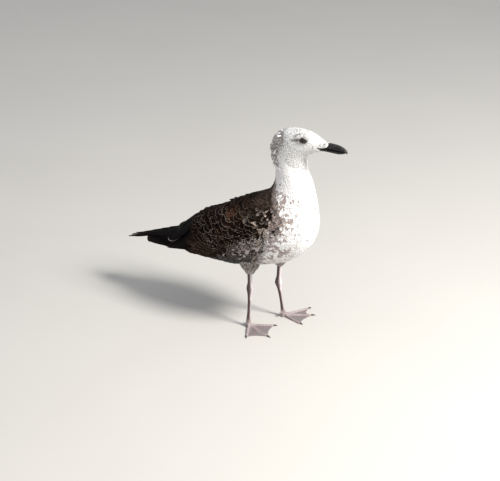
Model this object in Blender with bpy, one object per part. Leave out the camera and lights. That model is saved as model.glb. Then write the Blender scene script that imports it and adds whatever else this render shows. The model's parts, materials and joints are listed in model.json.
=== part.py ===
"""Young gull standing at rest, life size, as separate closed solids.

Metres, +Z up, bird looking along +X with its left side to +Y and its soles at z = 0.
Sizes are named in millimetres below and turned into metres by MM.
The whole body is one smooth loft over named stations, parted by thin gaps; wings,
tail, thighs and legs are bedded in it by Boolean cuts that leave the same gap.
"""
import math
from typing import NamedTuple

import bmesh
import bpy
import numpy as np
from mathutils import Matrix, Vector

MM = 0.001
GAP = 0.3 * MM                 # clearance between neighbouring solids
COLLECTION = "young_gull"
CUTTERS = "young_gull_cutters"

BODY_SEGMENTS = 24             # points round a body ring
LIMB_SEGMENTS = 10             # points round a leg ring
MIDPLANE_Y = -6.0              # the body leans a little over the right foot


class Station(NamedTuple):
    """A body cross-section: its upper and lower point in the mid-plane and its half width."""

    upper: tuple
    lower: tuple
    half_width: float


BODY = {
    "bill_base": Station((115.5, 359.0), (108.5, 344.0), 7.8),
    "lores": Station((105.5, 364.0), (102.5, 341.0), 12.5),
    "forehead": Station((95.5, 368.8), (93.5, 337.5), 15.6),
    "eye": Station((84.0, 372.5), (87.0, 334.0), 18.2),
    "crown": Station((70.0, 374.0), (81.0, 328.5), 20.6),
    "ear": Station((53.0, 373.7), (78.5, 322.5), 22.2),
    "hind_crown": Station((36.0, 369.5), (78.5, 317.0), 23.2),
    "nape": Station((22.5, 355.0), (79.5, 311.5), 23.8),
    "throat": Station((16.5, 337.0), (80.5, 305.0), 24.0),
    "upper_neck": Station((20.5, 320.0), (81.5, 297.0), 24.6),
    "mid_neck": Station((25.5, 303.5), (88.5, 284.5), 26.5),
    "lower_neck": Station((27.0, 288.0), (92.5, 267.5), 30.0),
    "neck_base": Station((23.0, 274.0), (96.5, 247.5), 35.5),
    "shoulder": Station((14.5, 262.5), (99.5, 222.5), 42.5),
    "mantle": Station((4.0, 255.0), (99.5, 198.0), 48.5),
    "breast": Station((-8.5, 248.5), (92.0, 174.0), 52.5),
    "mid_back": Station((-24.0, 240.5), (75.5, 153.5), 54.5),
    "belly": Station((-42.0, 232.5), (53.0, 136.5), 55.0),
    "thigh": Station((-62.5, 222.0), (26.0, 126.5), 53.5),
    "lower_back": Station((-85.0, 206.0), (-6.0, 117.0), 50.5),
    "rump": Station((-109.0, 195.0), (-40.0, 108.5), 45.5),
    "vent": Station((-132.0, 183.5), (-73.0, 105.5), 39.0),
    "tail_coverts": Station((-152.0, 160.5), (-105.0, 104.5), 32.0),
    "tail_root": Station((-168.0, 139.0), (-137.0, 104.5), 25.0),
    "coverts_end": Station((-181.0, 126.0), (-166.0, 107.5), 18.0),
    "body_end": Station((-190.0, 117.0), (-186.0, 109.5), 11.0),
}
AIR_UNDER_WINGS = {             # share of the body's depth left free under the folded wings
    "thigh": 0.02,
    "lower_back": 0.10,
    "rump": 0.22,
    "vent": 0.33,
    "tail_coverts": 0.36,
    "tail_root": 0.30,
    "coverts_end": 0.20,
    "body_end": 0.10,
}
SIDE_AIR = 0.4                 # of that share, taken from the trunk's half width
ORDER = list(BODY)
HEAD_CUT = "throat"            # head above this station, neck below it
NECK_CUT = "shoulder"          # neck above this station, trunk below it
CUT_WIDTH = 0.035              # of a station step, wide enough for GAP at the inner bend
BODY_SQUARENESS = 2.15         # 2 is an ellipse
ANGLE_STEP = 0.01              # for surface normals by differences
STATION_STEP = 0.02

EYE_RADIUS = 7.0
EYE_PLACE = (82.2, 11.1, 361.0)


class BillRing(NamedTuple):
    """A bill section: its top and low point in the mid-plane and its half width."""

    top_x: float
    top_z: float
    low_x: float
    low_z: float
    half_width: float


UPPER_BILL = (
    BillRing(116.1, 359.2, 112.9, 352.2, 7.7),
    BillRing(120.3, 360.0, 117.3, 351.6, 7.0),
    BillRing(128.3, 360.4, 127.3, 351.1, 5.7),
    BillRing(136.3, 360.4, 136.3, 350.8, 4.9),
    BillRing(143.3, 359.4, 143.8, 350.7, 4.3),
    BillRing(149.3, 357.2, 149.8, 350.2, 3.6),
    BillRing(153.3, 353.6, 153.9, 348.6, 2.4),
    BillRing(155.3, 349.8, 155.2, 347.6, 1.0),
)
LOWER_BILL = (
    BillRing(112.7, 351.8, 109.3, 344.6, 7.4),
    BillRing(117.3, 351.2, 115.8, 345.2, 6.4),
    BillRing(127.3, 350.7, 126.3, 344.9, 4.9),
    BillRing(136.3, 350.4, 135.8, 344.7, 4.1),
    BillRing(141.8, 350.3, 141.8, 345.0, 3.7),
    BillRing(146.8, 350.0, 147.0, 346.5, 3.0),
    BillRing(150.9, 349.0, 151.1, 347.6, 1.7),
)
BILL_SEGMENTS = 11
BILL_RISE_POWER = 0.75         # under 1 makes the sections fuller than an ellipse
BILL_SIDE_POWER = 0.8

WING_FRONT = "mantle"
TERTIAL_START = 20.6           # station number where the tertials begin
TERTIAL_END = 23.35
WING_SINK = 2.2                # depth of a wing's inner face in the trunk
WING_EDGE = 1.0                # height of a wing's edge over the trunk
WING_CREST = 6.5               # greatest height over the trunk
WING_TOP_ANGLES = (84, 60, 45, 33, 20, 9, 4, 2)       # degrees down from the back
WING_LOWER_ANGLES = (94, 88, 83, 85, 95, 112, 126, 133)
WING_COLUMNS = 13
WING_ROWS = 8
TERTIAL_COLUMNS = 5

PRIMARY_START = -145.0         # where the folded primaries come out from the tertials
PRIMARY_TIP = -293.0
PRIMARY_STEPS = 6              # feather tips that show along the upper edge
TIP_STEP = 20.0                # spacing of those tips
STEP_DEPTH = 1.3
STEP_SHARES = (0.85, 0.45, 0.03)       # rings between one tip and the next
EDGE_SHARE = 0.275             # of the thickness, each side of the edge
PRIMARY_KEYS = (               # upper y, z and lower y, z of one wing's blade, its thickness
    (5.0, 157.0, 19.0, 144.0, 3.4),
    (4.6, 148.5, 18.5, 137.0, 3.2),
    (4.4, 139.0, 16.5, 129.5, 2.8),
    (4.2, 129.5, 12.8, 122.0, 2.4),
    (4.0, 119.8, 9.8, 114.8, 2.0),
    (4.2, 110.0, 7.8, 107.4, 1.5),
    (5.4, 101.5, 6.4, 100.8, 1.0),
)

TAIL_START = -128.0
TAIL_END = -247.0
TAIL_HALF_WIDTHS = (13.0, 16.5, 19.5, 22.0, 24.0)
TAIL_ROUNDING = 14.0           # the outer feathers are this much shorter
TAIL_ROOT_Z = 116.5
TAIL_DROP = 3.5
TAIL_ARCH = 1.0                # how far the side feathers hang at the root
TAIL_ARCH_GROWTH = 0.8         # and how much more at the end
TAIL_ROOT_THICKNESS = 7.0
TAIL_END_THICKNESS = 1.4
TAIL_COLUMNS = 8
TAIL_ROWS = 8

# Leg rings: share of the way to the next joint, half size fore and aft, half size sideways.
THIGH_RINGS = ((0.0, 25.0, 13.0), (0.45, 20.5, 13.0), (0.66, 15.8, 11.5), (0.86, 9.5, 7.5),
               (1.0, 5.4, 5.0))
HIDDEN_TIBIA_RINGS = ((0.75, 4.4, 3.9), (1.0, 4.5, 3.9))
TIBIA_RINGS = ((0.6, 4.2, 3.6), (1.0, 6.8, 5.4))
TARSUS_RINGS = ((0.17, 4.4, 3.5), (0.4, 3.2, 2.5), (0.7, 3.1, 2.4), (0.92, 4.1, 3.4),
                (1.0, 4.6, 4.0))
THIGH_STEPS = 8
LEG_STEPS = 16


class Leg(NamedTuple):
    """One leg's joints from the belly down, and its toes from inner to outer.

    Toe turns are degrees from straight ahead, to the left positive.
    """

    side: str
    hip: tuple
    feather_end: tuple
    ankle_joint: tuple
    tarsus_end: tuple
    inner_sign: int
    toe_turns: tuple
    toe_lengths: tuple


LEGS = (
    Leg("right", (-17.0, -29.0, 136.0), (-13.5, -31.0, 104.0), (-13.3, -30.5, 76.0),
        (-17.0, -30.0, 8.5), 1, (34.0, -16.0, -62.0), (44.0, 50.0, 39.5)),
    Leg("left", (10.0, 17.5, 136.0), (10.5, 27.5, 103.0), (7.0, 30.0, 68.0),
        (14.0, 36.0, 8.5), -1, (-12.0, 35.0, 64.0), (41.0, 50.0, 54.0)),
)
TOE_NAMES = ("inner", "middle", "outer")
CLAW_LENGTHS = (6.5, 7.5, 6.0)
HEEL_RADIUS = 5.0
HEEL_HEIGHT = 7.4
TOE_HEIGHT = 5.0
TOE_END_HEIGHT = 3.2
TOE_HALF_WIDTH = 2.9
WEB_THICKNESS = 1.1
WEB_SCALLOP = 0.17             # how far a web's edge is drawn in between two toes
FOOT_RINGS = 7
FOOT_RAYS_BETWEEN = 5
TOE_FLANK = 4.2                # degrees from a toe's crest to its side
HEEL_STEPS = 6
HIND_TOE_LENGTH = 7.0
HIND_TOE_RADIUS = 2.0
HIND_TOE_TURN = 140.0          # degrees from the middle toe, on the inner side
HIND_TOE_HEIGHT = 9.5
HIND_TOE_OFFSET = 5.2          # from the middle of the tarsus
HIND_TOE_SLOPE = 0.35
HIND_TOE_DROOP = 0.8
CLAW_HEIGHT = 2.1
CLAW_RADIUS = 1.5
CLAW_DROOP = 1.2
CLAW_CLEARANCE = 0.4           # from the toe's end to the claw
SPIKE_SEGMENTS = 6
SPIKE_STEPS = 4

COLOURS = {
    "white_plumage": (0.80, 0.78, 0.75, 0.8),
    "brown_plumage": (0.10, 0.07, 0.05, 0.8),
    "black_feathers": (0.02, 0.017, 0.016, 0.6),
    "pale_plumage": (0.55, 0.50, 0.44, 0.8),
    "bill_horn": (0.02, 0.02, 0.022, 0.35),
    "eye_dark": (0.01, 0.007, 0.006, 0.05),
    "leg_skin": (0.56, 0.40, 0.38, 0.5),
    "claw_horn": (0.03, 0.026, 0.025, 0.4),
}


# ---------------------------------------------------------------- small helpers


def clear_scene():
    """Remove every object, so that the model starts from nothing."""
    for old in list(bpy.data.objects):
        bpy.data.objects.remove(old, do_unlink=True)


def make_collection(name):
    """Return a new collection linked to the scene."""
    group = bpy.data.collections.new(name)
    bpy.context.scene.collection.children.link(group)
    return group


def make_materials():
    """Return one Principled material for each colour name."""
    made = {}
    for name, (red, green, blue, roughness) in COLOURS.items():
        material = bpy.data.materials.new(name)
        material.use_nodes = True
        shader = material.node_tree.nodes["Principled BSDF"]
        shader.inputs["Base Color"].default_value = (red, green, blue, 1.0)
        shader.inputs["Roughness"].default_value = roughness
        shader.inputs["Metallic"].default_value = 0.0
        made[name] = material
    return made


def spline(keys, position):
    """Read a smooth curve through evenly spaced keys at a fractional position."""
    rows = np.asarray(keys, dtype=float)
    last = len(rows) - 1
    position = min(max(position, 0.0), float(last))
    cell = min(int(position), last - 1)
    part = position - cell
    before = rows[max(cell - 1, 0)]
    start = rows[cell]
    end = rows[cell + 1]
    after = rows[min(cell + 2, last)]
    return start + 0.5 * part * (
        end - before
        + part * (2 * before - 5 * start + 4 * end - after
                  + part * (3 * (start - end) + after - before)))


def ease(value):
    """Return a smooth 0 to 1 ramp of a clamped value."""
    value = min(max(value, 0.0), 1.0)
    return value * value * (3.0 - 2.0 * value)


def rounded(value, power):
    """Return a signed power, which squares up a sine or cosine."""
    return math.copysign(abs(value) ** power, value)


# ------------------------------------------------------------- the body surface

BODY_KEYS = [(*row.upper, *row.lower, row.half_width) for row in BODY.values()]


def slimmed(name, row):
    """Return a station's numbers with its back lowered, where air lies under the wings."""
    share = AIR_UNDER_WINGS.get(name, 0.0)
    upper = [high + (low - high) * share for high, low in zip(row.upper, row.lower)]
    return (*upper, *row.lower, row.half_width * (1.0 - SIDE_AIR * share))


TRUNK_KEYS = [slimmed(name, row) for name, row in BODY.items()]


def ring_point(keys, position, angle):
    """Return a point of a lofted body, in millimetres; angle 0 is the upper side, +90 the left."""
    top_x, top_z, low_x, low_z, half_width = spline(keys, position)
    power = 2.0 / BODY_SQUARENESS
    lift = rounded(math.cos(angle), power)
    side = rounded(math.sin(angle), power)
    x = 0.5 * (top_x + low_x) + 0.5 * (top_x - low_x) * lift
    z = 0.5 * (top_z + low_z) + 0.5 * (top_z - low_z) * lift
    return Vector((x, MIDPLANE_Y + half_width * side, z))


def point_over_body(position, angle, height):
    """Return a point at a height over the feathered outline, in metres."""
    here = ring_point(BODY_KEYS, position, angle)
    along = (ring_point(BODY_KEYS, position + STATION_STEP, angle)
             - ring_point(BODY_KEYS, position - STATION_STEP, angle))
    around = (ring_point(BODY_KEYS, position, angle + ANGLE_STEP)
              - ring_point(BODY_KEYS, position, angle - ANGLE_STEP))
    return (here + along.cross(around).normalized() * height) * MM


def station_number(name):
    """Return a station's place in the order from bill to tail."""
    return float(ORDER.index(name))


# -------------------------------------------------------------- mesh builders


def finish_mesh(name, work, material, group):
    """Turn a bmesh into a smooth-shaded object of the collection.

    It is triangulated first, so that a piece and the cutter copied from it share facets.
    """
    bmesh.ops.triangulate(work, faces=work.faces)
    bmesh.ops.recalc_face_normals(work, faces=work.faces)
    mesh = bpy.data.meshes.new(name)
    work.to_mesh(mesh)
    work.free()
    mesh.shade_smooth()
    mesh.set_sharp_from_angle(angle=math.radians(50.0))
    mesh.materials.append(material)
    made = bpy.data.objects.new(name, mesh)
    group.objects.link(made)
    return made


def loft(name, rings, material, group):
    """Close a row of rings with the same number of points into a solid."""
    work = bmesh.new()
    rows = [[work.verts.new(point) for point in ring] for ring in rings]
    count = len(rows[0])
    for first, second in zip(rows, rows[1:]):
        for index in range(count):
            following = (index + 1) % count
            work.faces.new((first[index], first[following], second[following], second[index]))
    work.faces.new(rows[0])
    work.faces.new(rows[-1])
    return finish_mesh(name, work, material, group)


def slab(name, outer, inner, material, group):
    """Close two grids of points, one over the other, into a curved slab."""
    work = bmesh.new()
    tops = [[work.verts.new(point) for point in row] for row in outer]
    bases = [[work.verts.new(point) for point in row] for row in inner]
    last_row = len(tops) - 1
    last_column = len(tops[0]) - 1
    for row in range(last_row):
        for column in range(last_column):
            for grid in (tops, bases):
                work.faces.new((grid[row][column], grid[row][column + 1],
                                grid[row + 1][column + 1], grid[row + 1][column]))
    edge = [(0, column) for column in range(last_column)]
    edge += [(row, last_column) for row in range(last_row)]
    edge += [(last_row, column) for column in range(last_column, 0, -1)]
    edge += [(row, 0) for row in range(last_row, 0, -1)]
    for (row, column), (next_row, next_column) in zip(edge, edge[1:] + edge[:1]):
        work.faces.new((tops[row][column], tops[next_row][next_column],
                        bases[next_row][next_column], bases[row][column]))
    return finish_mesh(name, work, material, group)


def grown_copy(source, cutters):
    """Return a cutter that stands GAP proud of a solid on every side."""
    mesh = source.data.copy()
    work = bmesh.new()
    work.from_mesh(mesh)
    work.normal_update()
    moves = [vert.normal * GAP * min(vert.calc_shell_factor(), 2.0) for vert in work.verts]
    for vert, move in zip(work.verts, moves):
        vert.co += move
    work.to_mesh(mesh)
    work.free()
    cutter = bpy.data.objects.new(f"{source.name}_cutter", mesh)
    cutter.hide_render = True
    cutter.display_type = "WIRE"
    cutters.objects.link(cutter)
    return cutter


def cut_with(target, cutter):
    """Cut one solid out of another with a Boolean modifier."""
    cut = target.modifiers.new(cutter.name, "BOOLEAN")
    cut.operation = "DIFFERENCE"
    cut.solver = "EXACT"
    cut.object = cutter


# ------------------------------------------------------------------ the pieces


def body_section(name, start, end, steps, material, group):
    """Loft the body between two station numbers."""
    rings = []
    for step in range(steps + 1):
        position = start + (end - start) * step / steps
        rings.append([ring_point(TRUNK_KEYS, position, 2.0 * math.pi * index / BODY_SEGMENTS) * MM
                      for index in range(BODY_SEGMENTS)])
    return loft(name, rings, material, group)


def make_body(materials, group):
    """Make head, neck and trunk as three lengths of the one loft."""
    head_end = station_number(HEAD_CUT)
    neck_end = station_number(NECK_CUT)
    tail_end = station_number("body_end")
    head = body_section("head", 0.0, head_end, 13, materials["white_plumage"], group)
    body_section("neck", head_end + CUT_WIDTH, neck_end, 7,
                 materials["white_plumage"], group)
    trunk = body_section("trunk", neck_end + CUT_WIDTH, tail_end, 18,
                         materials["pale_plumage"], group)
    return head, trunk


def make_eye(sign, material, group):
    """Make one eyeball."""
    work = bmesh.new()
    bmesh.ops.create_uvsphere(work, u_segments=12, v_segments=8, radius=EYE_RADIUS * MM)
    x, out, z = EYE_PLACE
    bmesh.ops.translate(work, verts=work.verts,
                        vec=Vector((x, MIDPLANE_Y + sign * out, z)) * MM)
    return finish_mesh(f"eye_{'left' if sign > 0 else 'right'}", work, material, group)


def bill_ring(row, dome_below):
    """Return one bill section: a dome whose flat side lies where the two halves meet."""
    ring = []
    for index in range(BILL_SEGMENTS):
        turn = math.pi * index / (BILL_SEGMENTS - 1)
        rise = max(math.sin(turn), 0.0) ** BILL_RISE_POWER
        share = 1.0 - rise if dome_below else rise
        across = row.half_width * rounded(math.cos(turn), BILL_SIDE_POWER)
        ring.append(Vector((row.low_x + (row.top_x - row.low_x) * share, MIDPLANE_Y + across,
                            row.low_z + (row.top_z - row.low_z) * share)) * MM)
    return ring


def make_bill(material, group):
    """Make the upper and the lower half of the bill."""
    for name, rows, dome_below in (("bill_upper", UPPER_BILL, False),
                                   ("bill_lower", LOWER_BILL, True)):
        loft(name, [bill_ring(row, dome_below) for row in rows], material, group)


def wing_height(along, across):
    """Return how high a wing stands over the body, by its length and its breadth.

    The upper edge rises to full height towards the rear, where both wings meet.
    """
    rim = math.sin(math.pi * across) ** 0.6
    if across < 0.5:
        rim = max(rim, ease((along - 0.3) / 0.35))
    return WING_EDGE + (WING_CREST - WING_EDGE) * rim * ease(along / 0.35)


def wing_grid(sign, start, end, columns, height_of, bulge):
    """Return a grid over the trunk between the wing's upper and lower edge."""
    front = station_number(WING_FRONT)
    grid = []
    for column in range(columns + 1):
        row_points = []
        for row in range(WING_ROWS + 1):
            across = row / WING_ROWS
            reach = end - bulge * (1.0 - math.sin(math.pi * (0.15 + 0.7 * across)))
            position = start + (reach - start) * column / columns
            along = (position - front) / (TERTIAL_END - front)
            place = along * (len(WING_TOP_ANGLES) - 1)
            top = spline([[value] for value in WING_TOP_ANGLES], place)[0]
            low = spline([[value] for value in WING_LOWER_ANGLES], place)[0]
            angle = math.radians(top + (low - top) * across)
            row_points.append(point_over_body(position, sign * angle, height_of(along, across)))
        grid.append(row_points)
    return grid


def make_wing(sign, materials, group):
    """Make a folded wing's covert panel and its tertials."""
    name = "left" if sign > 0 else "right"
    front = station_number(WING_FRONT)

    def sunk(along, across):
        return -WING_SINK

    wing = slab(f"wing_{name}",
                wing_grid(sign, front, TERTIAL_START, WING_COLUMNS, wing_height, 0.0),
                wing_grid(sign, front, TERTIAL_START, WING_COLUMNS, sunk, 0.0),
                materials["brown_plumage"], group)
    start = TERTIAL_START + CUT_WIDTH
    tertials = slab(f"tertials_{name}",
                    wing_grid(sign, start, TERTIAL_END, TERTIAL_COLUMNS, wing_height, 0.5),
                    wing_grid(sign, start, TERTIAL_END, TERTIAL_COLUMNS, sunk, 0.5),
                    materials["black_feathers"], group)
    return wing, tertials


def primary_edges(x, sign):
    """Return the upper and lower edge of the folded primaries at x, and their thickness."""
    along = (x - PRIMARY_START) / (PRIMARY_TIP - PRIMARY_START)
    upper_y, upper_z, lower_y, lower_z, thickness = spline(PRIMARY_KEYS,
                                                           (len(PRIMARY_KEYS) - 1) * along)
    behind = (x - PRIMARY_TIP) / TIP_STEP
    if behind < PRIMARY_STEPS:
        upper_z -= STEP_DEPTH * (1.0 - behind % 1.0)
    upper = Vector((x, MIDPLANE_Y + sign * upper_y, upper_z)) * MM
    lower = Vector((x, MIDPLANE_Y + sign * lower_y, lower_z)) * MM
    return upper, lower, thickness * MM


def make_primaries(sign, material, group):
    """Make one wing's folded primaries, with their tips stepped along the upper edge."""
    places = [PRIMARY_START, PRIMARY_START - 0.85 * TIP_STEP]
    for step in range(PRIMARY_STEPS - 1, -1, -1):
        tip = PRIMARY_TIP + step * TIP_STEP
        places += [tip + share * TIP_STEP for share in STEP_SHARES]
    outer = []
    inner = []
    for x in places:
        upper, lower, thickness = primary_edges(x, sign)
        across = lower - upper
        out = Vector((0.0, -across.z, across.y)).normalized() * sign
        outer_row = []
        inner_row = []
        for share in (0.0, 0.5, 1.0):
            bow = thickness * 4.0 * share * (1.0 - share)
            middle = upper.lerp(lower, share) + out * bow
            swell = thickness * (EDGE_SHARE + (0.5 - EDGE_SHARE) * math.sin(math.pi * share))
            outer_row.append(middle + out * swell)
            inner_row.append(middle - out * swell)
        outer.append(outer_row)
        inner.append(inner_row)
    name = "left" if sign > 0 else "right"
    return slab(f"primaries_{name}", outer, inner, material, group)


def make_tail(material, group):
    """Make the closed tail: a low arch of flat feathers with a rounded end."""
    tops = []
    bases = []
    for row in range(TAIL_ROWS + 1):
        along = row / TAIL_ROWS
        half_width = spline([[width] for width in TAIL_HALF_WIDTHS],
                            along * (len(TAIL_HALF_WIDTHS) - 1))[0]
        thickness = TAIL_ROOT_THICKNESS + (TAIL_END_THICKNESS - TAIL_ROOT_THICKNESS) * along ** 0.7
        top_row = []
        base_row = []
        for column in range(TAIL_COLUMNS + 1):
            across = 2.0 * column / TAIL_COLUMNS - 1.0
            end = TAIL_END + TAIL_ROUNDING * abs(across) ** 2.4
            x = TAIL_START + (end - TAIL_START) * along
            arch = TAIL_ARCH + TAIL_ARCH_GROWTH * along
            z = TAIL_ROOT_Z - TAIL_DROP * along - arch * across ** 2
            half = 0.5 * thickness * (1.0 - 0.55 * across ** 2)
            y = MIDPLANE_Y + across * half_width
            top_row.append(Vector((x, y, z + half)) * MM)
            base_row.append(Vector((x, y, z - half)) * MM)
        tops.append(top_row)
        bases.append(base_row)
    return slab("tail", tops, bases, material, group)


def limb(name, joints, steps, material, group):
    """Loft level oval rings down a leg through its joints."""
    rings = []
    last = len(joints) - 1
    for step in range(steps + 1):
        x, y, z, deep, wide = spline(joints, last * step / steps)
        rings.append([Vector((x + deep * math.cos(turn), y + wide * math.sin(turn), z)) * MM
                      for turn in (2.0 * math.pi * index / LIMB_SEGMENTS
                                   for index in range(LIMB_SEGMENTS))])
    return loft(name, rings, material, group)


def point_between(start, end, share):
    """Return a point part of the way between two points."""
    return tuple(a + (b - a) * share for a, b in zip(start, end))


def make_leg(leg, materials, group):
    """Make the feathered thigh and the bare leg of one side."""
    thigh = limb(f"thigh_{leg.side}",
                 [(*point_between(leg.hip, leg.feather_end, share), deep, wide)
                  for share, deep, wide in THIGH_RINGS],
                 THIGH_STEPS, materials["pale_plumage"], group)
    tibia = [(*point_between(leg.hip, leg.feather_end, share), deep, wide)
             for share, deep, wide in HIDDEN_TIBIA_RINGS]
    tibia += [(*point_between(leg.feather_end, leg.ankle_joint, share), deep, wide)
              for share, deep, wide in TIBIA_RINGS]
    tarsus = [(*point_between(leg.ankle_joint, leg.tarsus_end, share), deep, wide)
              for share, deep, wide in TARSUS_RINGS]
    shank = limb(f"leg_{leg.side}", tibia + tarsus, LEG_STEPS, materials["leg_skin"], group)
    return thigh, shank


def web_reach(share, first_length, second_length):
    """Return how far a web reaches between two toes, drawn in between them."""
    reach = first_length + (second_length - first_length) * share
    return reach * (1.0 - WEB_SCALLOP * math.sin(math.pi * share) ** 0.8)


def foot_height(leg, turn, radius):
    """Return the height of a foot's upper face, where toes stand over the webs."""
    height = WEB_THICKNESS
    for toe_turn, length in zip(leg.toe_turns, leg.toe_lengths):
        aside = radius * math.radians(abs(turn - toe_turn))
        along = radius / length
        half = TOE_HALF_WIDTH * (1.05 - 0.4 * along)
        crest = TOE_HEIGHT + (TOE_END_HEIGHT - TOE_HEIGHT) * along
        height = max(height, crest * math.sqrt(max(0.0, 1.0 - (aside / half) ** 2)))
    hub = HEEL_HEIGHT * (1.0 - ease((radius - 0.8 * HEEL_RADIUS) / (1.9 * HEEL_RADIUS)))
    return max(height, hub)


def foot_rays(leg):
    """Return the turns and reaches of the rays that a foot's grid follows."""
    flank = TOE_FLANK if leg.toe_turns[0] > leg.toe_turns[1] else -TOE_FLANK
    turns, lengths = leg.toe_turns, leg.toe_lengths
    rays = [(turns[0] + flank, 0.97 * lengths[0])]
    for index in (0, 1):
        inside = turns[index] - flank
        outside = turns[index + 1] + flank
        rays.append((turns[index], lengths[index]))
        for step in range(FOOT_RAYS_BETWEEN):
            turn = inside + (outside - inside) * step / (FOOT_RAYS_BETWEEN - 1)
            share = (turn - turns[index]) / (turns[index + 1] - turns[index])
            rays.append((turn, web_reach(share, lengths[index], lengths[index + 1])))
    rays.append((turns[2], lengths[2]))
    return rays + [(turns[2] - flank, 0.97 * lengths[2])]


def bearing(turn):
    """Return the level direction at a turn in degrees."""
    return Vector((math.cos(math.radians(turn)), math.sin(math.radians(turn)), 0.0))


def make_foot(leg, material, group):
    """Make one webbed foot with a flat sole: three toes, two webs and the heel."""
    centre = Vector((leg.tarsus_end[0], leg.tarsus_end[1], 0.0))
    work = bmesh.new()
    tops = []
    bases = []
    rays = foot_rays(leg)
    for turn, reach in rays:
        top_row = []
        base_row = []
        for step in range(FOOT_RINGS + 1):
            radius = HEEL_RADIUS + (reach - HEEL_RADIUS) * step / FOOT_RINGS
            spot = centre + bearing(turn) * radius
            lift = Vector((0.0, 0.0, foot_height(leg, turn, radius)))
            top_row.append(work.verts.new((spot + lift) * MM))
            base_row.append(work.verts.new(spot * MM))
        tops.append(top_row)
        bases.append(base_row)
    for grid in (tops, bases):
        for first, second in zip(grid, grid[1:]):
            for step in range(FOOT_RINGS):
                work.faces.new((first[step], first[step + 1], second[step + 1], second[step]))
    for index in range(len(rays) - 1):
        work.faces.new((tops[index][-1], tops[index + 1][-1],
                        bases[index + 1][-1], bases[index][-1]))
    for index in (0, -1):
        for step in range(FOOT_RINGS):
            work.faces.new((tops[index][step], tops[index][step + 1],
                            bases[index][step + 1], bases[index][step]))
    close_heel(work, centre, rays, tops, bases)
    return finish_mesh(f"foot_{leg.side}", work, material, group)


def close_heel(work, centre, rays, tops, bases):
    """Close a foot behind its rays with the round back of the heel."""
    start, end = rays[-1][0], rays[0][0]
    sweep = math.copysign(360.0 - abs(end - start), start - end)
    top_arc = [tops[-1][0]]
    base_arc = [bases[-1][0]]
    for step in range(1, HEEL_STEPS):
        spot = centre + bearing(start + sweep * step / HEEL_STEPS) * HEEL_RADIUS
        top_arc.append(work.verts.new((spot + Vector((0.0, 0.0, HEEL_HEIGHT))) * MM))
        base_arc.append(work.verts.new(spot * MM))
    top_arc.append(tops[0][0])
    base_arc.append(bases[0][0])
    for step in range(HEEL_STEPS):
        work.faces.new((top_arc[step], top_arc[step + 1], base_arc[step + 1], base_arc[step]))
    work.faces.new(top_arc + [row[0] for row in tops[1:-1]])
    work.faces.new(base_arc + [row[0] for row in bases[1:-1]])


def spike(name, start, direction, length, radius, droop, material, group):
    """Make a curved claw or small toe that tapers along its length."""
    direction = direction.normalized()
    across = Vector((-direction.y, direction.x, 0.0)).normalized()
    rings = []
    for step in range(SPIKE_STEPS + 1):
        along = step / SPIKE_STEPS
        size = radius * (1.0 - 0.85 * along ** 1.4)
        middle = start + direction * length * along
        middle = middle - Vector((0.0, 0.0, droop * along * along))
        ring = []
        for index in range(SPIKE_SEGMENTS):
            turn = 2.0 * math.pi * index / SPIKE_SEGMENTS
            rise = Vector((0.0, 0.0, size * math.sin(turn)))
            ring.append((middle + across * size * 0.8 * math.cos(turn) + rise) * MM)
        rings.append(ring)
    return loft(name, rings, material, group)


def make_claws(leg, material, group):
    """Make the three front claws of one foot."""
    foot = Vector((leg.tarsus_end[0], leg.tarsus_end[1], CLAW_HEIGHT))
    for name, turn, length, claw in zip(TOE_NAMES, leg.toe_turns, leg.toe_lengths, CLAW_LENGTHS):
        out = bearing(turn)
        start = foot + out * (length + CLAW_CLEARANCE)
        spike(f"claw_{name}_{leg.side}", start, out, claw, CLAW_RADIUS, CLAW_DROOP,
              material, group)


def make_hind_toe(leg, material, group):
    """Make the small raised hind toe with its claw."""
    back = bearing(leg.toe_turns[1] + leg.inner_sign * HIND_TOE_TURN)
    start = Vector((leg.tarsus_end[0], leg.tarsus_end[1], HIND_TOE_HEIGHT))
    start = start + back * HIND_TOE_OFFSET
    slope = back - Vector((0.0, 0.0, HIND_TOE_SLOPE))
    spike(f"hind_toe_{leg.side}", start, slope, HIND_TOE_LENGTH, HIND_TOE_RADIUS, HIND_TOE_DROOP,
          material, group)


def shift_to_origin(objects):
    """Return the move that centres the objects' common box over the origin."""
    points = [vert.co for item in objects for vert in item.data.vertices]
    middle_x = 0.5 * (min(p.x for p in points) + max(p.x for p in points))
    middle_y = 0.5 * (min(p.y for p in points) + max(p.y for p in points))
    return Matrix.Translation((-middle_x, -middle_y, 0.0))


def main():
    """Build the whole bird."""
    clear_scene()
    group = make_collection(COLLECTION)
    cutters = make_collection(CUTTERS)
    materials = make_materials()
    head, trunk = make_body(materials, group)
    make_bill(materials["bill_horn"], group)
    for sign in (1, -1):
        eye = make_eye(sign, materials["eye_dark"], group)
        cut_with(head, grown_copy(eye, cutters))
    tail = make_tail(materials["black_feathers"], group)
    cut_with(trunk, grown_copy(tail, cutters))
    for sign in (1, -1):
        wing, tertials = make_wing(sign, materials, group)
        primaries = make_primaries(sign, materials["black_feathers"], group)
        primaries_cutter = grown_copy(primaries, cutters)
        cut_with(tertials, primaries_cutter)
        cut_with(wing, primaries_cutter)
        for piece in (wing, tertials):
            cut_with(trunk, grown_copy(piece, cutters))
        cut_with(trunk, primaries_cutter)
    for leg in LEGS:
        thigh, shank = make_leg(leg, materials, group)
        cut_with(trunk, grown_copy(thigh, cutters))
        cut_with(thigh, grown_copy(shank, cutters))
        make_foot(leg, materials["leg_skin"], group)
        make_claws(leg, materials["claw_horn"], group)
        make_hind_toe(leg, materials["leg_skin"], group)
    shift = shift_to_origin(group.objects)
    for item in list(group.objects) + list(cutters.objects):
        item.data.transform(shift)


main()
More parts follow.
